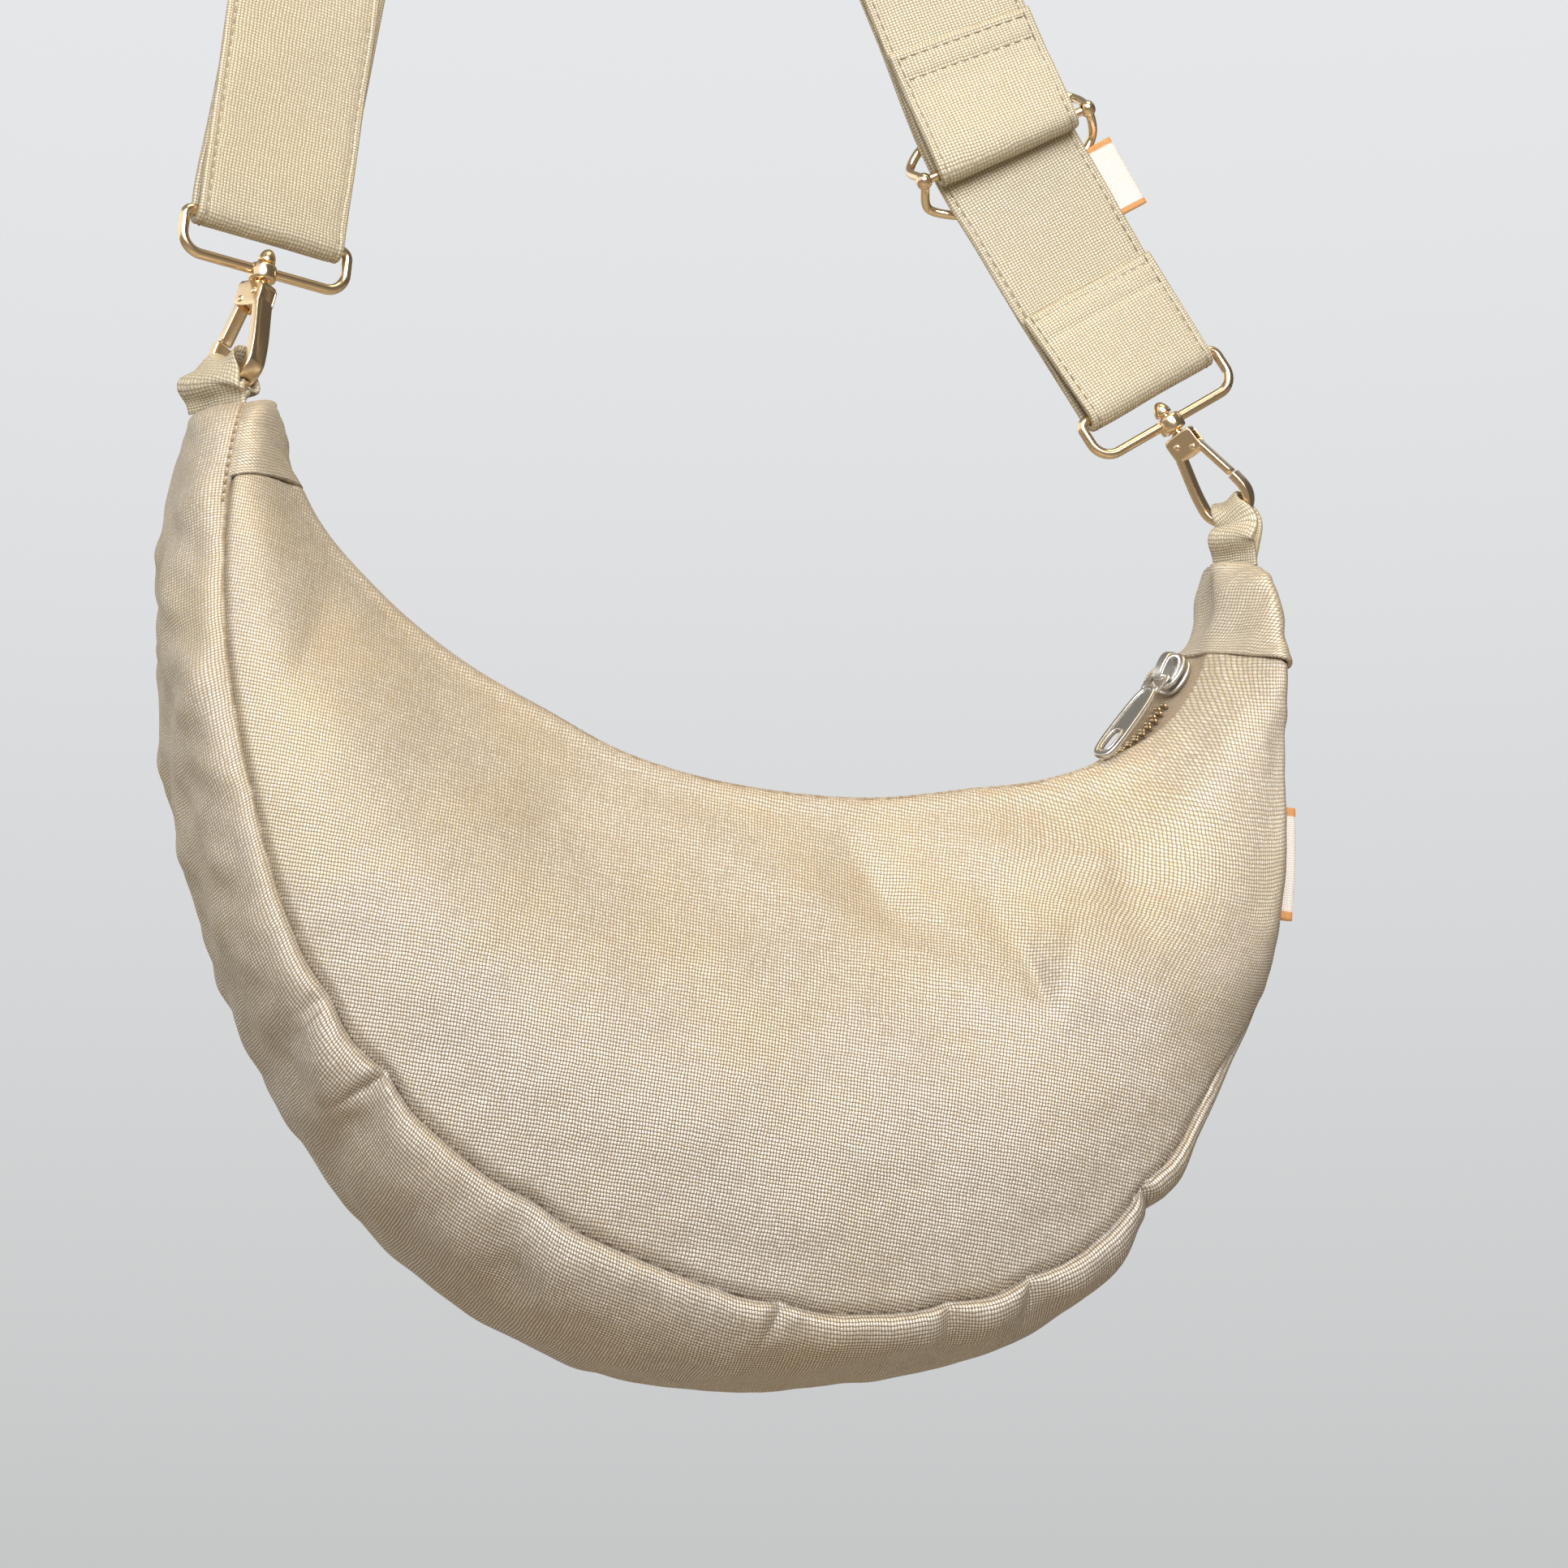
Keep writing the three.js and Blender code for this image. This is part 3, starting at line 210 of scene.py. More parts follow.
def rib_at(angle):
    """Measures of the bag's section at an angle round its centre."""
    sine = np.maximum(np.sin(np.radians(angle)), 0)
    closing = np.clip(np.minimum(angle - TIP_START, TIP_END - angle) / TIP_CLOSING, 0, 1)
    lean_reach = np.where(angle < SLIDER_ANGLE, LEAN_REACH, LEAN_TO_TIP)
    return {
        **{name: rib_value(name, angle) for name in RIB_COLUMNS[1:]},
        "depth": TIP_DEPTH + (MIDDLE_DEPTH - TIP_DEPTH) * sine**0.6,
        "puff": TIP_PUFF + (MIDDLE_PUFF - TIP_PUFF) * sine,
        "fill": TIP_SLIT + (1 - TIP_SLIT) * np.sqrt(1 - (1 - closing) ** 2),
        "wrap": PANEL_WRAP * smooth_step((angle - WRAP_START) / (WRAP_FULL - WRAP_START)),
        "lean": ZIP_LEAN * hump((angle - SLIDER_ANGLE) / lean_reach),
    }


def dent_at(angle, share):
    depth = 0.0
    for at, across, reach, reach_across, deep in FRONT_DENTS:
        depth = depth + deep * hump((angle - at) / reach) * hump((share - across) / reach_across)
    return depth * np.sqrt(np.sin(math.pi * np.clip(share, 0, 1)))


def pucker_at(angle, share):
    depth = 0.0
    for at, deep, spread, reach in PUCKERS:
        along = (angle - at) / spread
        fold = hump(along) - 0.35 * hump(along - 2) - 0.35 * hump(along + 2)
        depth = depth + deep * fold * hump(share / reach)
    return depth


def skin(angle, band):
    """Places on the skin. Band 0 to 1 is the front panel, 1 to 2 the gusset, 2 to 3 the back panel,
    3 to 4 the zip, and from 4 on the front panel again."""
    angle, band = np.broadcast_arrays(np.asarray(angle, float), np.asarray(band, float))
    rib = rib_at(angle)
    part = np.mod(band, 4)

    def panel_half(share):
        share = np.clip(share, 0, 1)
        spread = 1 - (1 - share) ** 1.8
        return ZIP_HALF + (rib["depth"] - ZIP_HALF) * spread + rib["puff"] * np.sin(math.pi * share**1.4)

    share = np.clip(part, 0, 1)
    bowed = share + rib["wrap"] / PANEL_WRAP * share * (1 - share)
    drawn = SEAM_PUCKER * pucker_at(angle, 0) * hump((1 - share) / 0.03)
    front = rib["zip"] + (rib["seam"] + rib["skew"] - rib["zip"]) * bowed - drawn
    front_depth = -(panel_half(share) - dent_at(angle, share) - rib["wrap"] * rib["depth"] * share**4)
    share = np.clip(part - 1, 0, 1)
    power = 2 / GUSSET_SQUARENESS
    cosine = np.cos(math.pi * share)
    gusset = rib["seam"] + rib["skew"] * (1 - 2 * share)
    beside_seam = 1 - (1 - SEAM_PUCKER) * hump(share / 0.05)
    flow = rib["wrap"] / PANEL_WRAP * (1 - share)
    gusset = gusset + rib["drop"] * np.maximum(np.sin(math.pi * share), 0) ** (power + 0.8 * flow)
    gusset = gusset - pucker_at(angle, share) * beside_seam
    round_over = np.sign(cosine) * np.abs(cosine) ** power
    over = round_over + (1 - 2 * share - round_over) * flow
    gusset_depth = -rib["depth"] * (over * (1 - rib["wrap"] / 2) - rib["wrap"] / 2)
    share = np.clip(3 - part, 0, 1)
    rear_zip = rib["zip"] - 2 * rib["lean"]
    back = rear_zip + (rib["seam"] - rib["skew"] - rear_zip) * share
    back_depth = panel_half(share)
    share = np.clip(part - 3, 0, 1)
    top = rib["zip"] - 2 * rib["lean"] * (1 - share) + ZIP_SAG * np.sin(math.pi * share)
    top_depth = ZIP_HALF * (1 - 2 * share)
    where = [part <= 1, part < 2, part <= 3]
    radius = np.select(where, [front, gusset, back], top)
    depth = np.select(where, [front_depth, gusset_depth, back_depth], top_depth)
    middle = (rib["zip"] + rib["seam"] + rib["drop"]) / 2
    radius = middle + (radius - middle) * (0.85 + 0.15 * rib["fill"])
    slant = TIP_SLANT * np.maximum(1 - np.maximum(angle, 0) / TIP_SLANT_REACH, 0) ** 2
    turn = np.radians(angle) + slant * (radius - middle) / radius
    return np.stack([-radius * np.cos(turn), depth * rib["fill"], -radius * np.sin(turn)], axis=-1)


def bag_place(points):
    """From the bag's own axes to the part's."""
    c, s = math.cos(math.radians(BAG_ROLL)), math.sin(math.radians(BAG_ROLL))
    x, y, z = points[..., 0], points[..., 1], points[..., 2]
    return np.stack([x * c + z * s, y, z * c - x * s], axis=-1) + BAG_CENTRE


def grid_normals(grid):
    along = np.gradient(grid, axis=0)
    across = np.gradient(grid, axis=1)
    return unit(np.cross(across, along))


# Meshes


class Form:
    """Points, faces and cloth places that grow into one piece."""

    def __init__(self):
        self.points, self.faces, self.places, self.count = [], [], [], 0

    def add(self, points, quads, polygons=(), places=None):
        points = np.asarray(points, float).reshape(-1, 3)
        quads = np.asarray(quads, int).reshape(-1, 4)
        centred = points - points.mean(axis=0)
        a, b, c, d = (centred[quads[:, k]] for k in range(4))
        volume = np.sum(a * np.cross(b, c)) + np.sum(a * np.cross(c, d))
        flip = volume < 0
        for faces in (quads.tolist(), [list(p) for p in polygons]):
            for face in faces:
                ordered = face[::-1] if flip else face
                self.faces.append([k + self.count for k in ordered])
        self.points.append(points)
        if places is None:
            places = np.zeros((len(points), 2))
        self.places.append(np.asarray(places, float).reshape(-1, 2))
        self.count += len(points)

    def piece(self, name, material, replaces=(), body=BODY, crease=None):
        mesh = bpy.data.meshes.new(name)
        points = np.concatenate(self.points) * MM
        mesh.from_pydata(points.tolist(), [], self.faces)
        mesh.polygons.foreach_set("use_smooth", [True] * len(mesh.polygons))
        places = np.concatenate(self.places) * MM
        corners = np.empty(len(mesh.loops), dtype=np.int32)
        mesh.loops.foreach_get("vertex_index", corners)
        layer = mesh.uv_layers.new(name="cloth_place")
        layer.data.foreach_set("uv", places[corners].ravel())
        if crease:
            mesh.set_sharp_from_angle(angle=math.radians(crease))
        mesh.materials.append(material)
        mesh.update()
        thing = bpy.data.objects.new(name, mesh)
        bpy.context.scene.collection.objects.link(thing)
        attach(thing, body)
        if replaces:
            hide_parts(*replaces)


def tube_faces(rows, count, closed=False):
    i = np.arange(rows if closed else rows - 1)[:, None]
    j = np.arange(count)[None, :]
    k = (j + 1) % count
    here, after = i * count, ((i + 1) % rows) * count
    return np.stack([here + j, after + j, after + k, here + k], axis=-1).reshape(-1, 4)


def add_tube(form, rings, closed=False, places=None):
    """Skin over rings of points, with flat ends unless it closes on itself."""
    rows, count = rings.shape[:2]
    ends = [] if closed else [range(count), [(rows - 1) * count + k for k in reversed(range(count))]]
    form.add(rings, tube_faces(rows, count, closed), ends, places)


def add_shell(form, outer, inner, places, rim=3):
    """Closed wall of cloth between two grids of places, with rounded long edges."""
    rows, cols = outer.shape[:2]
    turn = np.linspace(0, math.pi, rim + 2)[1:-1]

    def edge(start, end, away):
        middle, half = (start + end) / 2, (start - end) / 2
        reach = np.linalg.norm(half, axis=-1, keepdims=True)
        bow = away * reach
        c, s = np.cos(turn)[None, :, None], np.sin(turn)[None, :, None]
        return middle[:, None] + half[:, None] * c + bow[:, None] * s

    far = edge(outer[:, -1], inner[:, -1], unit(outer[:, -1] - outer[:, -2]))
    near = edge(inner[:, 0], outer[:, 0], unit(outer[:, 0] - outer[:, 1]))
    rings = np.concatenate([outer, far, inner[:, ::-1], near], axis=1)
    edge_far = np.repeat(places[:, -1:], rim, axis=1)
    edge_near = np.repeat(places[:, :1], rim, axis=1)
    cloth = np.concatenate([places, edge_far, places[:, ::-1], edge_near], axis=1)
    count = rings.shape[1]
    ends = []
    for start, order in ((0, 1), ((rows - 1) * count, -1)):
        opposite = [start + cols + rim + (cols - 1 - j) for j in range(cols)]
        for j in range(cols - 1):
            ends.append([start + j, start + j + 1, opposite[j + 1], opposite[j]][::order])
        ends.append([start + cols - 1, *[start + cols + r for r in range(rim)], opposite[-1]][::order])
        ends.append([opposite[0], *[start + 2 * cols + rim + r for r in range(rim)], start][::order])
    form.add(rings, tube_faces(rows, count), ends, cloth)


def superellipse(half_x, half_y, count, power=2.0):
    turn = 2 * math.pi * (np.arange(count) + 0.5) / count
    c, s = np.cos(turn), np.sin(turn)
    p = 2 / power
    return np.stack([half_x * np.sign(c) * np.abs(c) ** p, half_y * np.sign(s) * np.abs(s) ** p], axis=-1)


def tangents(points, closed=False):
    if closed:
        return unit(np.roll(points, -1, axis=0) - np.roll(points, 1, axis=0))
    return unit(np.gradient(points, axis=0))


def bar_rings(points, section, closed=False):
    """Rings of a bar bent about Y: the section's first value lies across the bend, the second along Y."""
    out = unit(np.cross(tangents(points, closed), BACK))
    section = np.asarray(section, float)
    if section.ndim == 2:
        section = np.repeat(section[None], len(points), axis=0)
    return points[:, None] + out[:, None] * section[..., :1] + BACK * section[..., 1:]


def band_rings(line, across, out, offset, lift, thick):
    """Rings of a flat band: its face and its back over the same offsets from the line."""
    base = line[:, None] + across[:, None] * offset[..., None]
    top = base + out[:, None] * (lift + thick)[..., None]
    low = base + out[:, None] * (lift - thick)[..., None]
    return np.concatenate([top, low[:, -2:0:-1]], axis=1)


def both_faces(flat):
    """Cloth places of a band's face, carried round to its back."""
    return np.concatenate([flat, flat[:, -2:0:-1]], axis=1)


def wire_rings(points, radius, sides, closed=False):
    """Rings of a round wire whose section does not twist along its way."""
    ahead = tangents(points, closed)
    side = unit(np.cross(ahead[0], [0.31, 0.83, 0.46]))
    rings = []
    turn = 2 * math.pi * np.arange(sides) / sides
    for place, way in zip(points, ahead):
        side = unit(side - way * np.dot(side, way))
        other = np.cross(way, side)
        rings.append(place + radius * (np.cos(turn)[:, None] * side + np.sin(turn)[:, None] * other))
    return np.array(rings)


def lathe_rings(profile, sides):
    """Rings round the local Z axis from rows of radius and height."""
    turn = 2 * math.pi * np.arange(sides) / sides
    profile = np.asarray(profile, float)
    r, z = profile[:, :1], profile[:, 1:]
    return np.stack([r * np.cos(turn), r * np.sin(turn), np.repeat(z, sides, axis=1)], axis=-1)


def block_rings(half, power=5.0, sides=28, levels=9):
    """Rings of a block with softly rounded edges."""
    level = np.sin(np.linspace(-0.497, 0.497, levels) * math.pi)
    size = (1 - np.abs(level) ** power) ** (1 / power)
    ring = superellipse(half[0], half[1], sides, power)
    flat = ring[None] * size[:, None, None]
    height = np.repeat((level * half[2])[:, None, None], sides, axis=1)
    return np.concatenate([flat, height], axis=-1)


def smooth_way(points, step, extra=None):
    """Even places along a smooth curve through points; further columns come along."""
    points = np.asarray(points, float)
    data = points if extra is None else np.concatenate([points, extra], axis=1)
    gaps = np.maximum(np.linalg.norm(np.diff(points, axis=0), axis=1), 1e-6)
    length = np.concatenate([[0], np.cumsum(gaps)])
    h = np.diff(length)[:, None]
    d = np.diff(data, axis=0) / h
    slope = np.empty_like(data)
    slope[1:-1] = (d[:-1] * h[1:] + d[1:] * h[:-1]) / (h[1:] + h[:-1])
    slope[0], slope[-1] = d[0], d[-1]
    parts = []
    for a, b in zip(length[:-1], length[1:]):
        parts.append(np.linspace(a, b, max(int(math.ceil((b - a) / step)), 1) + 1))
    steps = np.unique(np.concatenate(parts))
    i = np.clip(np.searchsorted(length, steps, side="right") - 1, 0, len(h) - 1)
    t = ((steps - length[i]) / h[i, 0])[:, None]
    a, b = data[i], data[i + 1]
    bend = slope[i] * h[i] * (1 - t) - slope[i + 1] * h[i] * t - (b - a) * (1 - 2 * t)
    return a + (b - a) * t + t * (1 - t) * bend, steps


class Axes:
    """A place with three directions: across, back and up."""

    def __init__(self, place, across, back, up):
        self.place = np.asarray(place, float)
        self.across, self.back, self.up = across, back, up

    def at(self, points):
        points = np.asarray(points, float)
        x, y, z = points[..., :1], points[..., 1:2], points[..., 2:]
        return self.place + x * self.across + y * self.back + z * self.up


def turned(vector, axis, degrees):
    """A vector turned about an axis."""
    c, s = math.cos(math.radians(degrees)), math.sin(math.radians(degrees))
    return vector * c + np.cross(axis, vector) * s + axis * np.dot(axis, vector) * (1 - c)


# Shader groups and materials


class Graph:
    """Short way of placing and joining shader nodes."""

    def __init__(self, tree):
        self.tree = tree

    def node(self, kind, **settings):
        made = self.tree.nodes.new(kind)
        for key, value in settings.items():
            setattr(made, key, value)
        return made

    def set(self, socket, value):
        if isinstance(value, bpy.types.NodeSocket):
            self.tree.links.new(value, socket)
        elif value is not None:
            socket.default_value = value

    def math(self, operation, *values):
        made = self.node("ShaderNodeMath", operation=operation)
        for socket, value in zip(made.inputs, values):
            self.set(socket, value)
        return made.outputs[0]

    def vector(self, operation, a, b=None, scale=None):
        made = self.node("ShaderNodeVectorMath", operation=operation)
        self.set(made.inputs[0], a)
        self.set(made.inputs[1], b)
        if scale is not None:
            self.set(made.inputs["Scale"], scale)
        return made.outputs[0]

    def combine(self, x, y, z):
        made = self.node("ShaderNodeCombineXYZ")
        for socket, value in zip(made.inputs, (x, y, z)):
            self.set(socket, value)
        return made.outputs[0]

    def split(self, vector):
        made = self.node("ShaderNodeSeparateXYZ")
        self.set(made.inputs[0], vector)
        return made.outputs

    def group(self, tree, values):
        made = self.node("ShaderNodeGroup", node_tree=tree)
        for key, value in values.items():
            self.set(made.inputs[key], value)
        return made.outputs

    def bump(self, strength, distance, height):
        made = self.node("ShaderNodeBump")
        for key, value in (("Strength", strength), ("Distance", distance), ("Height", height)):
            self.set(made.inputs[key], value)
        return made.outputs[0]

    def noise(self, place, scale, detail=2.0, roughness=0.5):
        made = self.node("ShaderNodeTexNoise")
        self.set(made.inputs["Vector"], place)
        for key, value in (("Scale", scale), ("Detail", detail), ("Roughness", roughness)):
            self.set(made.inputs[key], value)
        return made

    def blend(self, share, a, b):
        made = self.node("ShaderNodeMix", data_type="RGBA")
        self.set(made.inputs[0], share)
        self.set(made.inputs[6], a)
        self.set(made.inputs[7], b)
        return made.outputs[2]

    def between(self, share, a, b):
        made = self.node("ShaderNodeMix", data_type="FLOAT")
        for index, value in ((0, share), (2, a), (3, b)):
            self.set(made.inputs[index], value)
        return made.outputs[0]

    def ramp(self, value, low, high, to_low=0.0, to_high=1.0):
        made = self.node("ShaderNodeMapRange", interpolation_type="SMOOTHSTEP")
        for socket, v in zip(made.inputs, (value, low, high, to_low, to_high)):
            self.set(socket, v)
        return made.outputs[0]


KINDS = {"value": "NodeSocketFloat", "vector": "NodeSocketVector"}
WARP_PITCH = 0.00075
WEFT_PITCH = 0.0009
PITCHES = (WARP_PITCH, WEFT_PITCH)
SWAY = 0.0014
FRAY = 0.0005


def shader_group(name, inputs, outputs):
    tree = bpy.data.node_groups.new(name, "ShaderNodeTree")
    for socket, kind, value in inputs:
        made = tree.interface.new_socket(socket, in_out="INPUT", socket_type=KINDS[kind])
        if value is not None:
            made.default_value = value
    for socket, kind in outputs:
        tree.interface.new_socket(socket, in_out="OUTPUT", socket_type=KINDS[kind])
    graph = Graph(tree)
    return graph, graph.node("NodeGroupInput").outputs, graph.node("NodeGroupOutput").inputs


def woven_threads():
    """Plain weave: height of the threads, tone along each thread and where a thread lies on top."""
    g, given, out = shader_group(
        "woven_threads",
        [
            ("Cloth place", "vector", None),
            ("Warp pitch", "value", WARP_PITCH),
            ("Weft pitch", "value", WEFT_PITCH),
            ("Slub", "value", 0.3),
        ],
        [("Height", "value"), ("Tone", "value"), ("Crown", "value")],
    )
    place = given["Cloth place"]
    for scale, far in ((70.0, SWAY), (420.0, FRAY)):
        drift = g.vector("SUBTRACT", g.noise(given["Cloth place"], scale).outputs["Color"], (0.5, 0.5, 0.5))
        place = g.vector("ADD", place, g.vector("SCALE", drift, scale=far))
    x, y, _ = g.split(place)
    u, v = g.math("DIVIDE", x, given["Warp pitch"]), g.math("DIVIDE", y, given["Weft pitch"])
    i, j = g.math("FLOOR", u), g.math("FLOOR", v)

    def arch(value):
        centred = g.math("MULTIPLY_ADD", g.math("FRACT", value), 2.0, -1.0)
        return g.math("SUBTRACT", 1.0, g.math("MULTIPLY", centred, centred))

    a, b = arch(u), arch(v)
    odd = g.math("FLOORED_MODULO", g.math("ADD", i, j), 2.0)
    along_warp = g.combine(g.math("MULTIPLY", i, 1.73), g.math("MULTIPLY", y, 110.0), 3.1)
    along_weft = g.combine(g.math("MULTIPLY", x, 110.0), g.math("MULTIPLY", j, 1.73), 9.7)
    warp_tone = g.noise(along_warp, 1.0, 3.0, 0.6).outputs[0]
    weft_tone = g.noise(along_weft, 1.0, 3.0, 0.6).outputs[0]
    cell = g.node("ShaderNodeTexWhiteNoise", noise_dimensions="2D")
    g.set(cell.inputs["Vector"], g.combine(i, j, 0.0))
    tone = g.ramp(g.between(odd, warp_tone, weft_tone), 0.25, 0.75)
    tone = g.between(0.4, tone, cell.outputs["Value"])
    warp_high = g.math("MULTIPLY", g.math("POWER", a, 0.7), g.math("MULTIPLY_ADD", b, 0.55, 0.45))
    weft_high = g.math("MULTIPLY", g.math("POWER", b, 0.7), g.math("MULTIPLY_ADD", a, 0.55, 0.45))
    high = g.between(odd, warp_high, weft_high)
    swell = g.math("MULTIPLY_ADD", g.math("SUBTRACT", tone, 0.5), given["Slub"], 1.0)
    g.set(out["Height"], g.math("MULTIPLY", high, swell))
    g.set(out["Tone"], tone)
    g.set(out["Crown"], g.ramp(high, 0.34, 0.88))
    return g.tree


def coated_patches():
    """Metallic coating that lies on the thread crowns and is thinner in worn patches."""
    g, given, out = shader_group(
        "coated_patches",
        [("Cloth place", "vector", None), ("Crown", "value", 1.0), ("Amount", "value", 0.6)],
        [("Metal", "value"), ("Roughness", "value"), ("Gold", "value")],
    )
    wide = g.noise(given["Cloth place"], 26.0, 3.0, 0.55).outputs[0]
    fine = g.noise(given["Cloth place"], 190.0, 3.0, 0.6).outputs[0]
    patch = g.ramp(g.between(0.5, wide, fine), 0.34, 0.64, 0.62, 1.0)
    glint = g.noise(given["Cloth place"], 750.0, 2.0, 0.7).outputs[0]
    metal = g.math("MULTIPLY", g.math("MULTIPLY", given["Crown"], patch), given["Amount"])
    g.set(out["Metal"], metal)
    g.set(out["Roughness"], g.math("MULTIPLY_ADD", patch, -0.12, 0.66))
    g.set(out["Gold"], g.ramp(g.between(0.55, wide, glint), 0.42, 0.64))
    return g.tree


def metal_polish():
    """Handling marks on polished metal: uneven roughness, faint tarnish and hairline height."""
    g, given, out = shader_group(
        "metal_polish",
        [("Place", "vector", None), ("Roughness", "value", 0.16), ("Tarnish", "value", 0.2)],
        [("Roughness", "value"), ("Tarnish", "value"), ("Height", "value")],
    )
    cloud = g.noise(given["Place"], 160.0, 3.0, 0.6).outputs[0]
    stretched = g.vector("MULTIPLY", given["Place"], (900.0, 900.0, 5200.0))
    hair = g.noise(stretched, 1.0, 2.0, 0.6).outputs[0]
    g.set(out["Roughness"], g.math("MULTIPLY_ADD", g.math("SUBTRACT", cloud, 0.5), 0.07, given["Roughness"]))
    g.set(out["Tarnish"], g.math("MULTIPLY", g.ramp(cloud, 0.45, 0.75), given["Tarnish"]))
    g.set(out["Height"], hair)
    return g.tree


WOVEN = woven_threads()
COATED = coated_patches()
POLISH = metal_polish()


def start_material(name):
    material = bpy.data.materials.new(name)
    material.use_nodes = True
    tree = material.node_tree
    graph = Graph(tree)
    shader = next(n for n in tree.nodes if n.type == "BSDF_PRINCIPLED")
    return material, graph, shader.inputs


def linen(name, colours, coat, pitches=PITCHES, slub=0.5, relief=0.0003, smooth=None):
    """Cloth of woven threads with a metallic coat.
    Between the two heights of smooth the weave grows smoother, and the colour gets painted warm light and
    painted shade: more golden and darker towards the top."""
    light, dark, shaded_gap, gold = colours
    material, g, shader = start_material(name)
    place = g.node("ShaderNodeUVMap", uv_map="cloth_place").outputs[0]
    warp, weft = pitches
    threads = g.group(WOVEN, {"Cloth place": place, "Warp pitch": warp, "Weft pitch": weft, "Slub": slub})
    coating = g.group(COATED, {"Cloth place": place, "Crown": threads["Crown"], "Amount": coat})
    thread = g.blend(threads["Tone"], (*dark, 1), (*light, 1))
    # The gap colour between the crowns is partly painted shade in the recesses between threads.
    ground, gilding_and_warm_light, strength, shade = (*shaded_gap, 1), 0.4, 0.55, (1, 1, 1)
    if smooth:
        height = g.split(g.node("ShaderNodeTexCoord").outputs["Object"])[2]
        share = g.ramp(height, *smooth)
        filled = tuple(0.7 * a + 0.3 * b for a, b in zip(shaded_gap, gold))
        ground = g.blend(share, ground, (*filled, 1))
        # Painted warm light: more gold in the colour towards the top.
        gilding_and_warm_light = g.math("MULTIPLY_ADD", share, 0.22, gilding_and_warm_light)
        strength = g.math("MULTIPLY_ADD", share, -0.1, strength)
        # Painted shade: the colour darker towards the top.
        shade = g.blend(share, (1, 1, 1, 1), (0.88, 0.862, 0.85, 1))
    gilded = g.blend(g.math("MULTIPLY", coating["Gold"], gilding_and_warm_light), thread, (*gold, 1))
    g.set(shader["Base Color"], g.vector("MULTIPLY", g.blend(threads["Crown"], ground, gilded), shade))
    g.set(shader["Metallic"], coating["Metal"])
    g.set(shader["Roughness"], coating["Roughness"])
    g.set(shader["Normal"], g.bump(strength, relief, threads["Height"]))
    return material


def polished(name, colour, shade, roughness, tarnish):
    """Metal with handling marks."""
    material, g, shader = start_material(name)
    place = g.node("ShaderNodeTexCoord").outputs["Object"]
    polish = g.group(POLISH, {"Place": place, "Roughness": roughness, "Tarnish": tarnish})
    g.set(shader["Base Color"], g.blend(polish["Tarnish"], (*colour, 1), (*shade, 1)))
    g.set(shader["Metallic"], 1.0)
    g.set(shader["Roughness"], polish["Roughness"])
    g.set(shader["Normal"], g.bump(0.012, 0.00005, polish["Height"]))
    return material


def banded_tab(name, ground, band, pitch=0.0004):
    """Blank woven tab with a coloured band at both ends of its length."""
    material, g, shader = start_material(name)
    place = g.node("ShaderNodeUVMap", uv_map="cloth_place").outputs[0]
    threads = g.group(WOVEN, {"Cloth place": place, "Warp pitch": pitch, "Weft pitch": pitch, "Slub": 0.2})
    ends = g.ramp(g.math("ABSOLUTE", g.split(place)[0]), 0.0082, 0.0086)
    tint = g.blend(ends, (*ground, 1), (*band, 1))
    shadow = g.vector("MULTIPLY", tint, (0.72, 0.68, 0.64))
    g.set(shader["Base Color"], g.blend(threads["Crown"], shadow, tint))
    g.set(shader["Roughness"], 0.75)
    g.set(shader["Normal"], g.bump(0.3, 0.0001, threads["Height"]))
    return material


# Linear colours: pale thread, dark thread, gap between threads (dark partly as painted shade in the
# recesses), gold of the coat
BAG_COLOURS = ((0.92, 0.895, 0.85), (0.56, 0.51, 0.44), (0.20, 0.15, 0.105), (0.82, 0.70, 0.45))
# Cap colours: darker tones of the bag's cloth as painted shade of the tips, with lighter gaps that soften the
# weave.
CAP_SHADED_COLOURS = ((0.80, 0.755, 0.67), (0.58, 0.52, 0.43), (0.33, 0.27, 0.19), (0.80, 0.67, 0.42))
STRAP_COLOURS = ((0.82, 0.765, 0.63), (0.60, 0.54, 0.41), (0.39, 0.325, 0.22), (0.80, 0.69, 0.45))
ZIP_COLOURS = ((0.64, 0.53, 0.40), (0.50, 0.40, 0.29), (0.28, 0.21, 0.14), (0.56, 0.44, 0.30))
# Sewing thread: tan, darker than the strap partly as painted shade of the stitches.
THREAD_AND_SHADE_COLOURS = ((0.60, 0.52, 0.40), (0.48, 0.41, 0.31), (0.30, 0.24, 0.17), (0.8, 0.7, 0.5))
# Seam thread: tan, darker partly as painted shade of the stitch holes.
SEAM_AND_SHADE_COLOURS = ((0.60, 0.47, 0.30), (0.48, 0.36, 0.22), (0.30, 0.21, 0.13), (0.6, 0.46, 0.28))
TWIST = {"pitches": (0.00022, 0.0004), "slub": 0.2, "relief": 0.00008}
# The bag's cloth gets painted warm light and painted shade above the heights given last.
BAG_LINEN = linen("bag_linen", BAG_COLOURS, 0.6, smooth=(-0.63, -0.49))
CAP_LINEN = linen("cap_linen", CAP_SHADED_COLOURS, 0.6, relief=0.0002)
STRAP_LINEN = linen("strap_linen", STRAP_COLOURS, 0.5)
ZIP_CLOTH = linen("zip_cloth", ZIP_COLOURS, 0.0, (0.0005, 0.0005))
THREAD = linen("sewing_thread", THREAD_AND_SHADE_COLOURS, 0.1, **TWIST)
SEAM_THREAD = linen("seam_thread", SEAM_AND_SHADE_COLOURS, 0.1, **TWIST)
GOLD = polished("pale_gold", (0.98, 0.78, 0.53), (0.72, 0.51, 0.30), 0.17, 0.15)
SILVER = polished("silver", (0.70, 0.69, 0.67), (0.48, 0.46, 0.43), 0.3, 0.2)
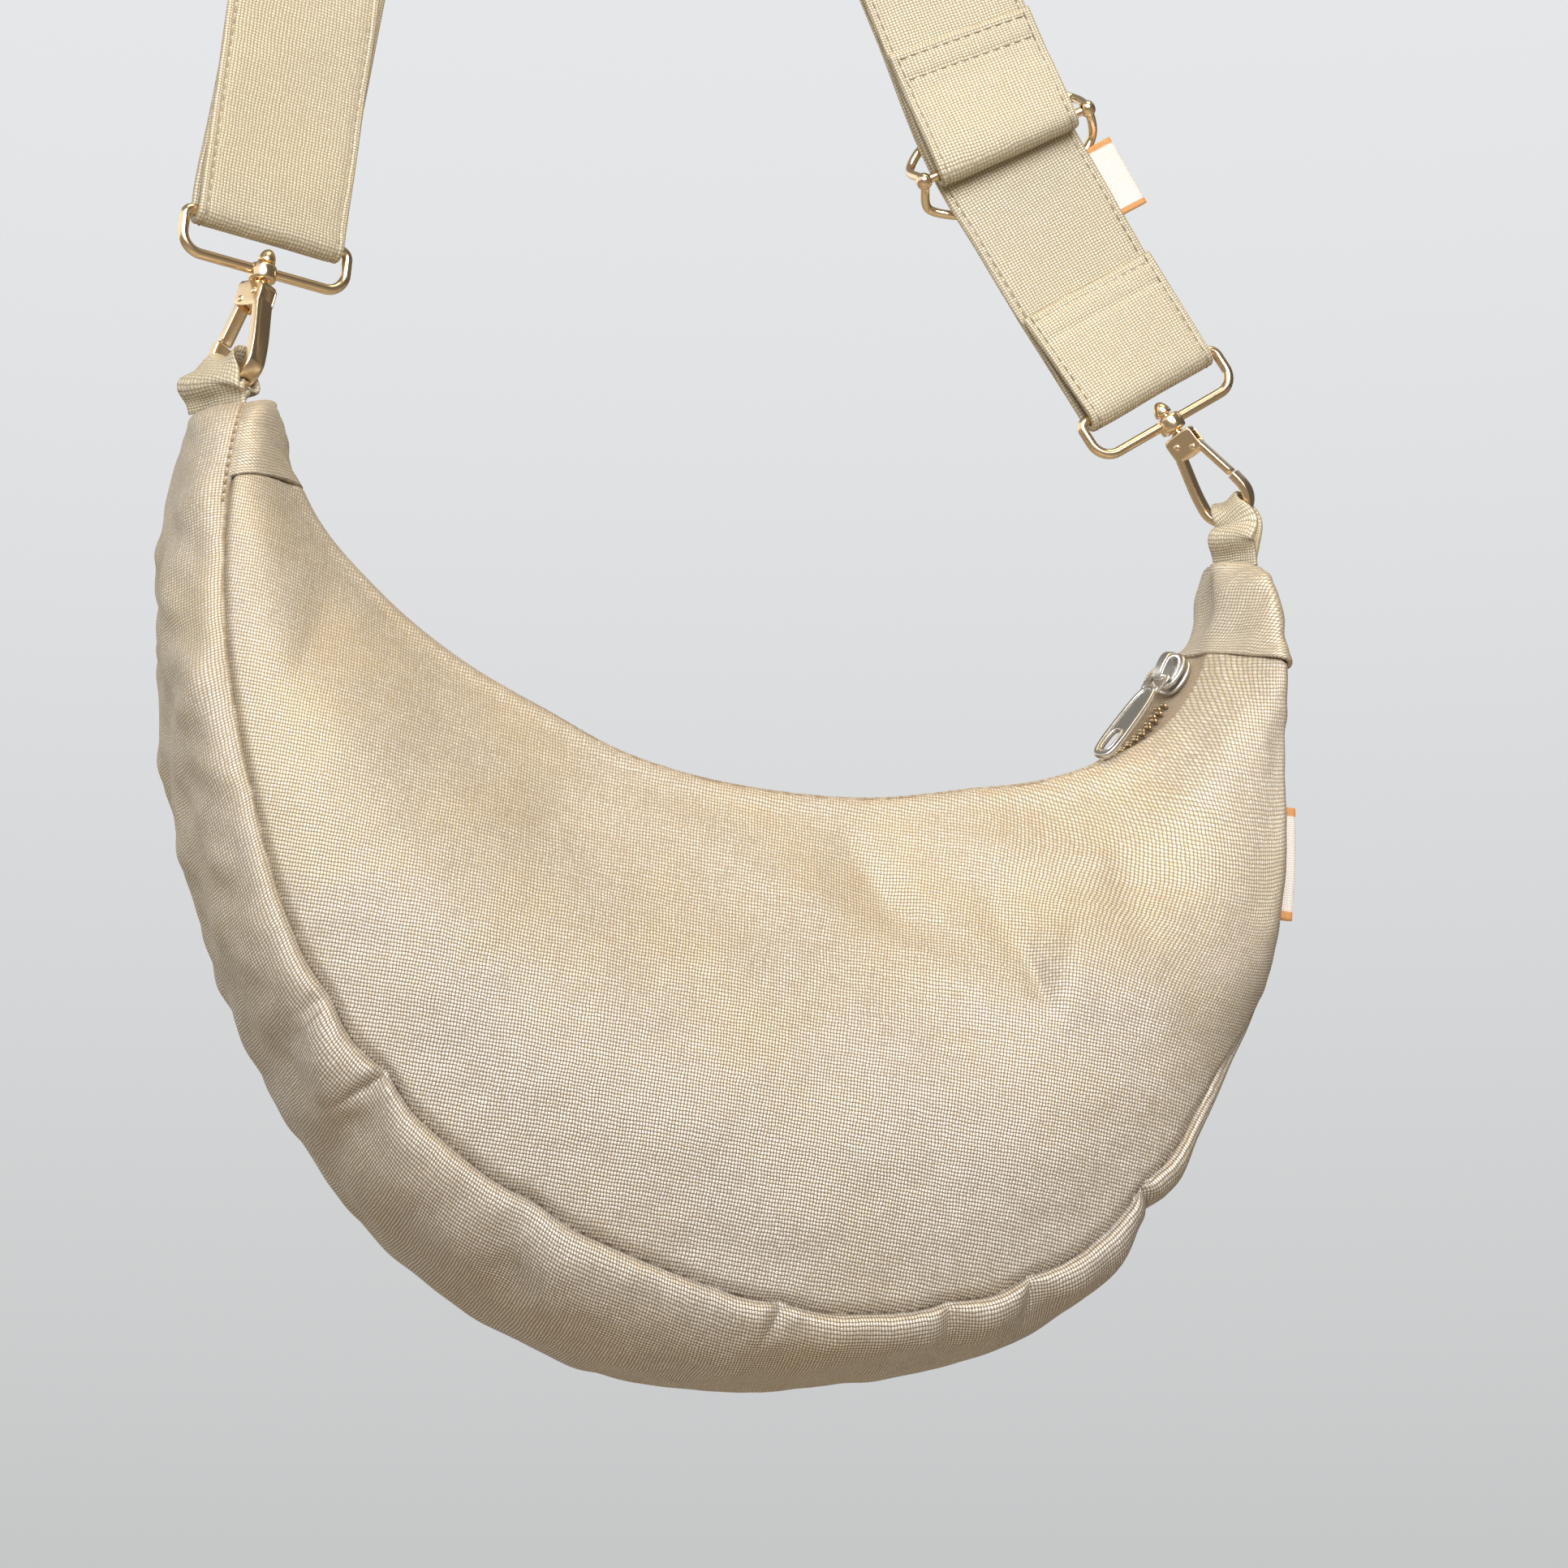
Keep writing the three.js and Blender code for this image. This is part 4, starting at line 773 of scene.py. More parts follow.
TEETH = polished("zip_metal", (0.66, 0.52, 0.34), (0.36, 0.25, 0.15), 0.26, 0.4)
TAB_CLOTH = banded_tab("tab_cloth", (0.90, 0.88, 0.86), (0.76, 0.38, 0.14))


# Cloth of the bag

THREAD_TURN = 4.5
ARM_START = 132.0
ARM_END = 166.5
SEAM_RADIUS = 205.0
UNDER_CAP = 1.8
CAP_CLOTH = 1.4
ROLL = 4.5
# Uneven surfaces: height, wavelength and seed
PANEL_RIPPLES = ((0.35, 60, 11), (0.25, 26, 12), (0.1, 11, 13))


def panel_lengths(angle):
    """Length of a panel's cloth from the zip to the seam."""
    rib = rib_at(angle)
    return np.hypot(rib["seam"] - rib["zip"], rib["depth"] - ZIP_HALF)


def polar_places(angle, radius):
    """Flat cloth of a panel: threads run straight over it, turned a little."""
    t = np.radians(angle + THREAD_TURN)
    return np.stack([-radius * np.cos(t), -radius * np.sin(t)], axis=-1)


def on_flat_cloth(angle, share):
    """Place on a panel's flat cloth, at a share of the way from the zip to the seam."""
    angle = np.array(angle)
    return polar_places(angle, rib_at(angle)["zip"] + share * panel_lengths(angle))


def panel_folds(places):
    """Height of the front panel's folds over its flat cloth; each fades at its ends."""
    height = 0.0
    for a0, s0, a1, s1, half_width, high in PANEL_FOLDS:
        start = on_flat_cloth(a0, s0)
        way = on_flat_cloth(a1, s1) - start
        share = np.sum((places - start) * way, axis=-1) / np.dot(way, way)
        aside = np.linalg.norm(places - start - np.clip(share, 0, 1)[..., None] * way, axis=-1)
        height = height + high * np.exp(-((aside / half_width) ** 1.6)) * hump((share - 0.5) / 0.62)
    return height


def arm_turn(angle, share):
    """How far the front panel moves to the back on the right arm."""
    on_arm = smooth_step((angle - ARM_START) / 16) * smooth_step((ARM_END - angle) / 8)
    return on_arm * sum(far * hump((share - at) / reach) for at, reach, far in ARM_TURN)


def gusset_creases(angle, across):
    """Sharp creases with a swelling on both sides, in mm."""
    height = 0.0
    for at, deep, length, drift in GUSSET_CREASES:
        step = np.radians(angle - at) * SEAM_RADIUS - drift * across / length
        fade = hump(across / length) * smooth_step(across / 1.2)
        crease = np.exp(-((np.abs(step) / 1.15) ** 1.25))
        swell = 0.42 * (hump((step - 3.4) / 2.0) + hump((step + 3.4) / 2.0))
        height = height + deep * fade * (swell - crease)
    return height


def panel_piece(name, node, front, rows, cols):
    """Front or back panel with its seam edge turned in, ripples, and its ends tucked under the caps."""
    angle = np.linspace(CAP_LEFT - 1.5, CAP_RIGHT + 1.5, rows)[:, None]
    share = np.linspace(0, 1, cols)[None, :]
    share = share - 0.04 * np.sin(2 * math.pi * share)
    band = np.clip(share, 1e-4, 0.9999) if front else np.clip(3 - share, 2.0001, 3)
    grid = skin(angle, band)
    if front:
        grid[..., 1] += arm_turn(angle, share) * np.sqrt(np.sin(math.pi * np.clip(share, 0, 1)))
    normal = grid_normals(grid)
    if not front:
        normal = -normal
    length = panel_lengths(angle)
    to_seam, to_zip = (1 - share) * length, share * length
    lift = -1.5 * hump(to_seam / 1.4) + 0.7 * hump((to_zip - 2.2) / 2.0)
    x, z = grid[..., 0], grid[..., 2]
    free = np.minimum(1, np.minimum(to_seam, to_zip) / 12)
    lift = lift + free * rippled(x, z, PANEL_RIPPLES)
    gathers = ripples(np.radians(angle) * 190, 0 * share, 9, 14)
    lift = lift + 0.15 * gathers * hump((to_seam - 3) / 6)
    places = polar_places(angle, rib_at(angle)["zip"] + to_zip)
    if front:
        lift = lift + free * panel_folds(places)
    for past_edge in (angle - CAP_RIGHT, CAP_LEFT - angle):
        lift = lift - UNDER_CAP * smooth_step((past_edge + 0.1) / 0.5)
    outer = grid + normal * lift[..., None]
    inner = outer - normal * CLOTH
    form = Form()
    add_shell(form, bag_place(outer), bag_place(inner), places)
    form.piece(name, BAG_LINEN, [node])


def gusset_piece(rows, cols):
    """Strip between the panels: a roll beside both seams, slow waves and sharp creases."""
    near_creases = [at + np.arange(-2.4, 1.6, 0.16) for at, *_ in GUSSET_CREASES]
    angle = np.unique(np.concatenate([np.linspace(TIP_START, TIP_END, rows), *near_creases]))[:, None]
    share = np.linspace(0, 1, cols)[None, :]
    share = share - 0.06 * np.sin(2 * math.pi * share)
    grid = skin(angle, 1 + np.clip(share, 1e-4, 0.9999))
    normal = grid_normals(grid)
    across = across_length(grid)
    along = run_length(grid[:, cols // 2])[:, None]
    width = across[:, -1:]
    edge = np.minimum(across, width - across)
    fill = rib_at(angle)["fill"]
    middle = smooth_step((angle - 36) / 26) * smooth_step((142 - angle) / 14)
    drawn = np.clip(sum(hump((angle - at) / (0.75 * spread)) for at, _, spread, _ in PUCKERS), 0, 1)
    roll = edge / ROLL * np.exp(1 - edge / ROLL)
    flat = along + 0 * across
    gathers = ripples(flat, 0 * across, 22, 21)
    lift = -(0.25 + 1.15 * middle) * hump(edge / 1.1)
    lift = lift + roll * (0.1 + 1.4 * middle * (1 - 0.75 * drawn) + 0.25 * gathers * middle)
    free = np.minimum(1, edge / 8)
    upright = hump((angle - 28) / 26)
    waves = ((0.55 + 0.55 * upright, 30, 22), (0.25 + 0.35 * upright, 13, 23))
    lift = lift + free * rippled(flat, across, waves)
    lift = lift + gusset_creases(angle, across)
    lift = lift * np.minimum(1, fill * 1.1) * np.minimum(1, width / 40)
    outer = grid + normal * lift[..., None]
    inner = outer - normal * CLOTH * np.minimum(1, width / 20)[..., None]
    places = np.stack([flat, across], axis=-1)
    form = Form()
    add_shell(form, bag_place(outer), bag_place(inner), places)
    form.piece("gusset_cloth", BAG_LINEN, ["gusset"])


def soften(grid, rounds):
    """Evens a grid across its columns, so that a folded edge becomes round."""
    for _ in range(rounds):
        grid[:, 1:-1] = 0.5 * grid[:, 1:-1] + 0.25 * (grid[:, :-2] + grid[:, 2:])
    return grid


def cap_piece(name, node, start, end, seed, rows=70, cols=120):
    """Cap folded over a tip, from the back seam over the zip to the front seam."""
    angle = np.linspace(start, end, rows)[:, None]
    grid = soften(skin(angle, np.linspace(2.0001, 4.9999, cols)[None, :]), 24)
    normal = grid_normals(grid)
    across = across_length(grid)
    along = (np.radians(angle) * 120) + 0 * across
    width = across[:, -1:]
    edge = np.minimum(across, width - across)
    lift = 0.75 * smooth_step(edge / 7) - 0.2 * hump(edge / 1.2)
    wave = rippled(along, across, ((0.55, 15, seed), (0.15, 6, seed + 1)))
    slanting = 0.45 * ripples(0.8 * along + 0.6 * across, 0 * across, 13, seed + 2)
    lift = lift + (wave + slanting) * np.minimum(1, edge / 5)
    outer = grid + normal * lift[..., None] * rib_at(angle)["fill"][..., None]
    inner = outer - normal * CAP_CLOTH
    form = Form()
    add_shell(form, bag_place(outer), bag_place(inner), np.stack([along, across], axis=-1))
    form.piece(name, CAP_LINEN, [node])


panel_piece("front_panel_cloth", "front_panel", True, 360, 96)
panel_piece("back_panel_cloth", "back_panel", False, 220, 60)
gusset_piece(400, 60)
cap_piece("tip_cap_left_cloth", "tip_cap_left", TIP_START, CAP_LEFT, 31)
cap_piece("tip_cap_right_cloth", "tip_cap_right", CAP_RIGHT, TIP_END, 41)

# Zip: tape, teeth, slider and pull

SLIDER_LENGTH = 11.0
SLIDER_WIDTH = 8.6
SLIDER_HEIGHT = 3.6
SLIDER_LIFT = 1.25
BRIDGE_LENGTH = 10.0
BRIDGE_WIDTH = 2.6
BRIDGE_HEIGHT = 4.0
PIN_AHEAD = 2.8
PIN_HEIGHT = 6.4
PULL_LENGTH = 29.5
PULL_WIDTH = 7.6
PULL_THICKNESS = 1.5
TOOTH_FOOT = 0.3
CHAIN_RISE = TOOTH_FOOT + 1.8
PULL_REST = 3.8
TOOTH_PITCH = 1.25


def zip_axes(angle):
    """X along the zip to the bag's middle, Y to the back, Z out of the zip."""
    place = bag_place(skin(angle, 3.5))
    ahead = unit(bag_place(skin(angle - 1, 3.5)) - bag_place(skin(angle + 1, 3.5)))
    forward = bag_place(skin(angle, 3.52)) - bag_place(skin(angle, 3.48))
    forward = unit(forward - ahead * np.dot(forward, ahead))
    return Axes(place, ahead, forward, np.cross(ahead, forward))


def zip_tape_piece(rows=260, cols=16):
    """Woven tape under the teeth, from cap to cap."""
    angle = np.linspace(CAP_LEFT - 1, CAP_RIGHT + 1, rows)[:, None]
    grid = skin(angle, np.linspace(3.0001, 3.9999, cols)[None, :])
    normal = grid_normals(grid)
    along = run_length(grid[:, cols // 2])[:, None]
    across = np.linspace(-ZIP_HALF, ZIP_HALF, cols)[None, :]
    form = Form()
    places = np.stack(np.broadcast_arrays(along, across), axis=-1)
    add_shell(form, bag_place(grid), bag_place(grid - normal), places)
    form.piece("zip_tape_cloth", ZIP_CLOTH, ["zip_tape"])


def zip_teeth_piece():
    """Teeth that grip each other from both sides of the zip, up to the slider."""
    angles = np.linspace(CAP_LEFT + 0.3, SLIDER_ANGLE - 3.4, 900)
    way = bag_place(skin(angles, 3.5))
    length = run_length(way)
    tooth = block_rings((0.5, 1.45, 0.8), 3.0, 12, 5)
    form = Form()
    for k, at in enumerate(np.arange(0.6, length[-1], TOOTH_PITCH)):
        axes = zip_axes(np.interp(at, length, angles))
        aside = 0.75 if k % 2 else -0.75
        add_tube(form, axes.at(tooth + [0, aside, TOOTH_FOOT + 0.9]))
    form.piece("zip_teeth", TEETH, ["zip_chain"])


def plate_rings(outline, levels, half):
    """Rings of a plate with eased edges; each level gives a height and how far the outline draws in."""
    rings = []
    for height, inset in levels:
        shrink = np.array([1 - inset / half[0], 1 - inset / half[1]])
        rings.append(np.concatenate([outline * shrink, np.full((len(outline), 1), height)], axis=1))
    return np.array(rings)


def slider_piece():
    """Two plates on a post, with an arched bridge for the pull."""
    axes = zip_axes(SLIDER_ANGLE)
    half = np.array([SLIDER_LENGTH / 2, SLIDER_WIDTH / 2])
    outline = superellipse(half[0], half[1], 48, 2.7)
    outline[:, 1] *= 1 - 0.16 * np.clip(outline[:, 0] / half[0], 0, 1)
    form = Form()
    for foot, thick in ((0.0, 1.1), (SLIDER_HEIGHT - 1.2, 1.2)):
        levels = [(foot, 0.55), (foot + 0.1, 0.2), (foot + 0.35, 0)]
        levels += [(foot + thick - 0.35, 0), (foot + thick - 0.1, 0.2), (foot + thick, 0.55)]
        add_tube(form, axes.at(plate_rings(outline, levels, half) + [0, 0, SLIDER_LIFT]))
    post = block_rings((1.6, 1.5, SLIDER_HEIGHT / 2 - 0.2), 4.0)
    add_tube(form, axes.at(post + [1.8, 0, SLIDER_LIFT + SLIDER_HEIGHT / 2]))
    turn = np.linspace(-0.08, math.pi + 0.08, 41)
    foot = SLIDER_LIFT + SLIDER_HEIGHT - 0.3
    reach, rise = BRIDGE_LENGTH / 2 - 0.65, BRIDGE_HEIGHT - 0.65
    c, s = np.cos(turn), np.sin(turn)
    x, z = reach * np.sign(c) * np.abs(c) ** 0.7, rise * np.sign(s) * np.abs(s) ** 0.8
    arch = np.stack([x, 0 * c, foot + z], axis=-1)
    add_tube(form, axes.at(bar_rings(arch, superellipse(0.65, BRIDGE_WIDTH / 2, 20, 4))))
    form.piece("slider_metal", SILVER, ["zip_slider"], crease=50)


def pull_axes():
    """The pull hangs on its pin with its free end on the teeth."""
    slider = zip_axes(SLIDER_ANGLE)
    pin = slider.at(np.array([PIN_AHEAD, 0, PIN_HEIGHT]))
    angle, rest = SLIDER_ANGLE, pin
    while np.linalg.norm(rest - pin) < PULL_LENGTH:
        angle -= 0.05
        rest = zip_axes(angle).at(np.array([0, 0, CHAIN_RISE + PULL_REST + PULL_THICKNESS / 2]))
    ahead = rest - pin
    ahead = unit(ahead - slider.back * np.dot(slider.back, ahead))
    return Axes(pin, ahead, slider.back, np.cross(ahead, slider.back))


def pull_piece():
    """Long tab with a raised rim, a sunk middle and a long hole, on a yoke and pin."""
    axes = pull_axes()
    start = 4.2
    half = np.array([(PULL_LENGTH - start) / 2, PULL_WIDTH / 2])
    centre = start + half[0]
    count = 72
    outline = superellipse(half[0], half[1], count, 3.4)
    outline[:, 1] *= 0.82 + 0.18 * (outline[:, 0] + half[0]) / (2 * half[0])
    hole_half = np.array([3.5, 1.4])
    hole = superellipse(hole_half[0], hole_half[1], count, 2.8)
    hole_at = PULL_LENGTH - 5.9

    def level_ring(flat, height):
        return np.concatenate([flat, np.full((count, 1), height)], axis=1)

    def ring(inset, height):
        return level_ring(outline * (1 - inset / half) + [centre, 0], height)

    def hole_ring(outset, height):
        return level_ring(hole * (1 + outset / hole_half) + [hole_at, 0], height)

    top = PULL_THICKNESS / 2
    edge = [(0.4, -top), (0.12, -top + 0.12), (0, -top + 0.4)]
    edge += [(inset, -height) for inset, height in reversed(edge)]
    rings = [ring(*level) for level in edge + [(0.95, top), (1.12, top - 0.12), (1.2, top - 0.4)]]
    bore = [(0.75, top - 0.4), (0.65, top - 0.12), (0.5, top), (0.2, top - 0.06)]
    bore += [(0, top - 0.3), (0, -top + 0.3), (0.2, -top)]
    rings += [hole_ring(*level) for level in bore]
    form = Form()
    add_tube(form, axes.at(np.array(rings)), closed=True)
    for side in (-1, 1):
        arm = block_rings((3.3, 0.62, top), 4.0, 20, 7)
        add_tube(form, axes.at(arm + [2.5, side * 2.25, 0]))
    pin = np.stack([np.zeros(2), np.array([-2.7, 2.7]), np.zeros(2)], axis=-1)
    add_tube(form, axes.at(wire_rings(pin, 0.75, 16)))
    form.piece("pull_metal", SILVER, ["zip_pull"], "zip_pull", 50)


zip_tape_piece()
zip_teeth_piece()
slider_piece()
pull_piece()

# Rings, hooks and gates at the ends of the strap

WIRE = 1.35
RING_HALF_WIDTH = 22.1
RING_HALF_HEIGHT = 5.6
RING_TOP_CORNER = 2.2
RING_FOOT_CORNER = 5.2
BOSS_WIDTH = 7.0
BOSS_HEIGHT = 4.4
BOSS_DEPTH = 6.2
STEM = 1.3
RIVET_HEAD = 2.3
NECK_TOP = 9.4
NECK_LENGTH = 7.0
NECK_WIDTH = 8.0
NECK_THICKNESS = 6.0
BEND_RADIUS = 6.2
BEND_DEPTH = 30.4
HOOK_THICKNESS = 2.4
HOOK_BREADTH = 6.0
NOSE_TOP = 26.4
GATE_PIVOT = 14.6
GATE_OFFSET = 3.2
GATE_THICKNESS = 2.0
GATE_BREADTH = 4.2


def hanging_axes(place, lean, twist):
    """Axes that lean to the side by lean and turn about their own up by twist."""
    down = math.radians(lean)
    up = np.array([-math.sin(down), 0.0, math.cos(down)])
    across = turned(np.cross(BACK, up), up, twist)
    return Axes(place, across, np.cross(up, across), up)


def end_axes(ring, lean, twist, hook_lean, hook_twist):
    """Axes of a ring, and of its hook turned about the ring's boss."""
    leg = hanging_axes(ring, lean, twist)
    hook = hanging_axes(ring, hook_lean, hook_twist)
    boss = leg.place - BOSS_DEPTH * leg.up
    return leg, Axes(boss + BOSS_DEPTH * hook.up, hook.across, hook.back, hook.up)


LEFT_LEG, LEFT_HOOK = end_axes((-43.4, 0, -387.6), -4.5, 18, -14, -45)
RIGHT_LEG, RIGHT_HOOK = end_axes((189.5, 0, -409.6), 33, 0, 36.5, -40)


def ring_way():
    """Centre line of a ring: a rectangle with small corners above and wide ones below."""
    wide, high = RING_HALF_WIDTH, RING_HALF_HEIGHT
    points = []
    for k, (x, z) in enumerate(((1, 1), (-1, 1), (-1, -1), (1, -1))):
        size = RING_TOP_CORNER if z > 0 else RING_FOOT_CORNER
        turn = np.radians(np.linspace(0, 90, 11) + 90 * k)
        bend = np.stack([np.cos(turn), 0 * turn, np.sin(turn)], axis=-1) * size
        points.append(bend + [x * (wide - size), 0, z * (high - size)])
    return np.concatenate(points)


def ring_piece(side, leg):
    """Ring of round wire with a swivel boss in the middle of its foot."""
    form = Form()
    wire = bar_rings(ring_way(), superellipse(WIRE, WIRE, 24), closed=True)
    add_tube(form, leg.at(wire), closed=True)
    outer, inner, half = BOSS_WIDTH / 2, STEM + 0.65, BOSS_HEIGHT / 2
    profile = [(inner, -half + 0.3), (inner + 0.3, -half), (outer - 0.7, -half)]
    profile += [(outer - 0.2, -half + 0.25), (outer, -half + 0.8)]
    profile += [(r, -z) for r, z in reversed(profile)]
    add_tube(form, leg.at(lathe_rings(profile, 36) + [0, 0, -BOSS_DEPTH]), closed=True)
    form.piece(f"ring_{side}_metal", GOLD, [f"ring_{side}"], crease=60)


def hook_piece(side, hook, way):
    """Swivel hook with the gate on the side given by way: head, stem, cheeks, shank, bend and nose."""
    form = Form()
    head_foot = -BOSS_DEPTH + BOSS_HEIGHT / 2 + 0.6
    t = np.linspace(0.02, 1, 12) * math.pi / 2
    dome = [(RIVET_HEAD * math.sin(a), 1.5 * RIVET_HEAD * math.cos(a)) for a in t]
    dome += [(RIVET_HEAD * 0.95, -0.25), (RIVET_HEAD * 0.8, -0.4), (0.05, -0.4)]
    add_tube(form, hook.at(lathe_rings(dome, 32) + [0, 0, head_foot + 0.4]))
    stem = [(0.05, head_foot), (STEM, head_foot), (STEM, -NECK_TOP + 0.5)]
    stem += [(STEM + 0.7, -NECK_TOP + 0.2), (STEM + 0.7, -NECK_TOP - 0.6), (0.05, -NECK_TOP - 0.6)]
    add_tube(form, hook.at(lathe_rings(stem, 24)))
    middle = -NECK_TOP - NECK_LENGTH / 2
    lid = block_rings((NECK_WIDTH / 2, NECK_THICKNESS / 2, 0.85), 6)
    add_tube(form, hook.at(lid + [0, 0, -NECK_TOP - 0.8]))
    spine = block_rings((2.35, NECK_THICKNESS / 2, NECK_LENGTH / 2), 6)
    add_tube(form, hook.at(spine + [-way * 1.65, 0, middle]))
    dot = [(0.05, 0.42), (0.45, 0.38), (0.8, 0.22), (0.95, 0), (0.05, -0.1)]
    dot_x, dot_z, dot_rise = np.moveaxis(lathe_rings(dot, 20), -1, 0)
    for face in (-1, 1):
        cheek = block_rings((NECK_WIDTH / 2, 0.31, NECK_LENGTH / 2), 6)
        add_tube(form, hook.at(cheek + [0, face * 2.7, middle]))
        button = np.stack([dot_x, face * (dot_rise + NECK_THICKNESS / 2), dot_z], axis=-1)
        for x, z in ((way * 1.9, -GATE_PIVOT), (-way * 1.7, -NECK_TOP - 3.0)):
            add_tube(form, hook.at(button + [x, 0, z]))
    turn = np.radians(np.arange(0, 181, 10))
    points = [(-way * 2.4, 0, -NECK_TOP - 3), (-way * 3.4, 0, -NECK_TOP - NECK_LENGTH)]
    points += [(-way * BEND_RADIUS * 0.97, 0, -BEND_DEPTH + 2)]
    for a in turn:
        points += [(-way * BEND_RADIUS * math.cos(a), 0, -BEND_DEPTH - BEND_RADIUS * math.sin(a))]
    points += [(way * BEND_RADIUS * 0.93, 0, -NOSE_TOP)]
    line, _ = smooth_way(points, 0.8)
    add_tube(form, hook.at(bar_rings(line, superellipse(HOOK_THICKNESS / 2, HOOK_BREADTH / 2, 32, 4.5))))
    form.piece(f"hook_{side}_metal", GOLD, [f"hook_{side}"], crease=55)


def gate_piece(side, hook, way):
    """Flat bar from its pivot in the neck to the hook's nose, with eased ends."""
    pivot = np.array([way * GATE_OFFSET, 0, -GATE_PIVOT])
    tip = np.array([way * BEND_RADIUS * 0.9, 0, -NOSE_TOP + 0.48])
    ahead = unit(tip - pivot)
    start = pivot - ahead * GATE_THICKNESS / 2
    share = np.array([0, 0.012, 0.04, 0.1, 0.3, 0.5, 0.7, 0.9, 0.97, 0.99, 1.0])
    size = np.array([0.55, 0.82, 0.96, 1, 1, 1, 1, 1, 0.97, 0.9, 0.75])
    line = start + (tip - start) * share[:, None]
    section = superellipse(GATE_THICKNESS / 2, GATE_BREADTH / 2, 28, 4.5)
    section = section[None] * size[:, None, None]
    form = Form()
    add_tube(form, hook.at(bar_rings(line, section)))
    form.piece(f"gate_{side}_metal", GOLD, [f"gate_{side}"], f"gate_{side}", 60)


for side, leg, hook, way in (("left", LEFT_LEG, LEFT_HOOK, -1), ("right", RIGHT_LEG, RIGHT_HOOK, 1)):
    ring_piece(side, leg)
    hook_piece(side, hook, way)
    gate_piece(side, hook, way)

# Strap, adjuster and their stitching

STRAP_WIDTH = 40.5
STRAP_AT_RING = 39.6
STRAP = 2.0
LAYER = 2.6
PEG_RADIUS = 12.0
LAYER_SLIP = 6.0
FLAP_RIGHT = 28.0
FLAP_ADJUSTER = 33.0
RIGHT_BEND = np.array([148.3, 0.0, -342.6])
BEND_TWIST = -8.0
ADJUSTER_HALF_WIDTH = 24.2
ADJUSTER_HALF_HEIGHT = 9.5
ADJUSTER_WIRE = 1.2
ADJUSTER_KNOB = 2.3


def station(at, across, width=STRAP_WIDTH):
    """One row of the strap's way: place, direction across and width."""
    return np.concatenate([at, across, [width]])


def round_bar(centre, axes, radius, width, to_front):
    """Stations round the underside of a bar."""
    rows = []
    for a in np.radians(np.arange(-75, 76, 15)) * (-1 if to_front else 1):
        at = centre + radius * (axes.back * math.sin(a) - axes.up * math.cos(a))
        rows.append(station(at, axes.across, width))
    return rows


def straight(start, end, steps, slip=0.0):
    """Stations from one row to another; the middle may slip sideways."""
    share = np.linspace(0, 1, steps + 1)[:, None]
    rows = start * (1 - share) + end * share
    rows[:, 3:6] = unit(rows[:, 3:6])
    rows[:, :3] += rows[:, 3:6] * slip * np.sin(math.pi * share)
    return list(rows)


def to_top(leg):
    return unit(-leg.place)


UP_MIDDLE = unit(to_top(LEFT_LEG) + to_top(RIGHT_LEG))
PEG_AXIS = unit(np.cross(BACK, UP_MIDDLE))
LEG_LEAN = 0.5 * math.acos(np.dot(to_top(LEFT_LEG), to_top(RIGHT_LEG)))


def over_peg(radius, to_back):
    """Stations over the peg at the top, shifting sideways from one leg's slope to the other's."""
    rows = []
    for a in np.radians(np.arange(-90, 91, 9)):
        at = -PEG_RADIUS * UP_MIDDLE + radius * (BACK * math.sin(a) + UP_MIDDLE * math.cos(a))
        rows.append(station(at - PEG_AXIS * radius * a * math.tan(LEG_LEAN), PEG_AXIS))
    return rows if to_back else rows[::-1]


BAR_RADIUS = WIRE + 0.3 + STRAP / 2
OVER_INNER = over_peg(PEG_RADIUS + STRAP / 2, True)
OVER_OUTER = over_peg(PEG_RADIUS + STRAP / 2 + LAYER, False)


def ring_bar(leg):
    return leg.place + leg.up * RING_HALF_HEIGHT


def beside_bar(leg, to_back):
    return station(ring_bar(leg) + leg.back * to_back * BAR_RADIUS + leg.up * 3, leg.across, STRAP_AT_RING)


RIGHT_FOOT = beside_bar(RIGHT_LEG, 1)
LOWER_UP = unit(RIGHT_BEND - RIGHT_FOOT[:3])
UPPER_UP = unit(OVER_INNER[0][:3] - RIGHT_BEND)
LOWER_LENGTH = np.linalg.norm(RIGHT_BEND - RIGHT_FOOT[:3])


def along_leg(up, twist):
    """Axes at the bend of the strap's right leg."""
    across = turned(unit(np.cross(BACK, up)), up, twist)
    return Axes(RIGHT_BEND, across, np.cross(up, across), up)


def leg_axes(below):
    twist = BEND_TWIST * min(max(1 - below / LOWER_LENGTH, 0), 1)
    return along_leg(LOWER_UP if below > 0 else UPPER_UP, twist)


def on_right_leg(below, forward):
    """Station on the right leg, so far below its bend and in front of its lowest layer."""
    axes = leg_axes(below)
    return station(RIGHT_BEND - axes.up * below - axes.back * forward, axes.across)


RUN = along_leg(unit(LOWER_UP + UPPER_UP), BEND_TWIST)
ADJUSTER_BAR = ADJUSTER_WIRE + 0.3 + STRAP / 2
ADJUSTER_CENTRE = RIGHT_BEND - RUN.back * (LAYER + ADJUSTER_BAR)


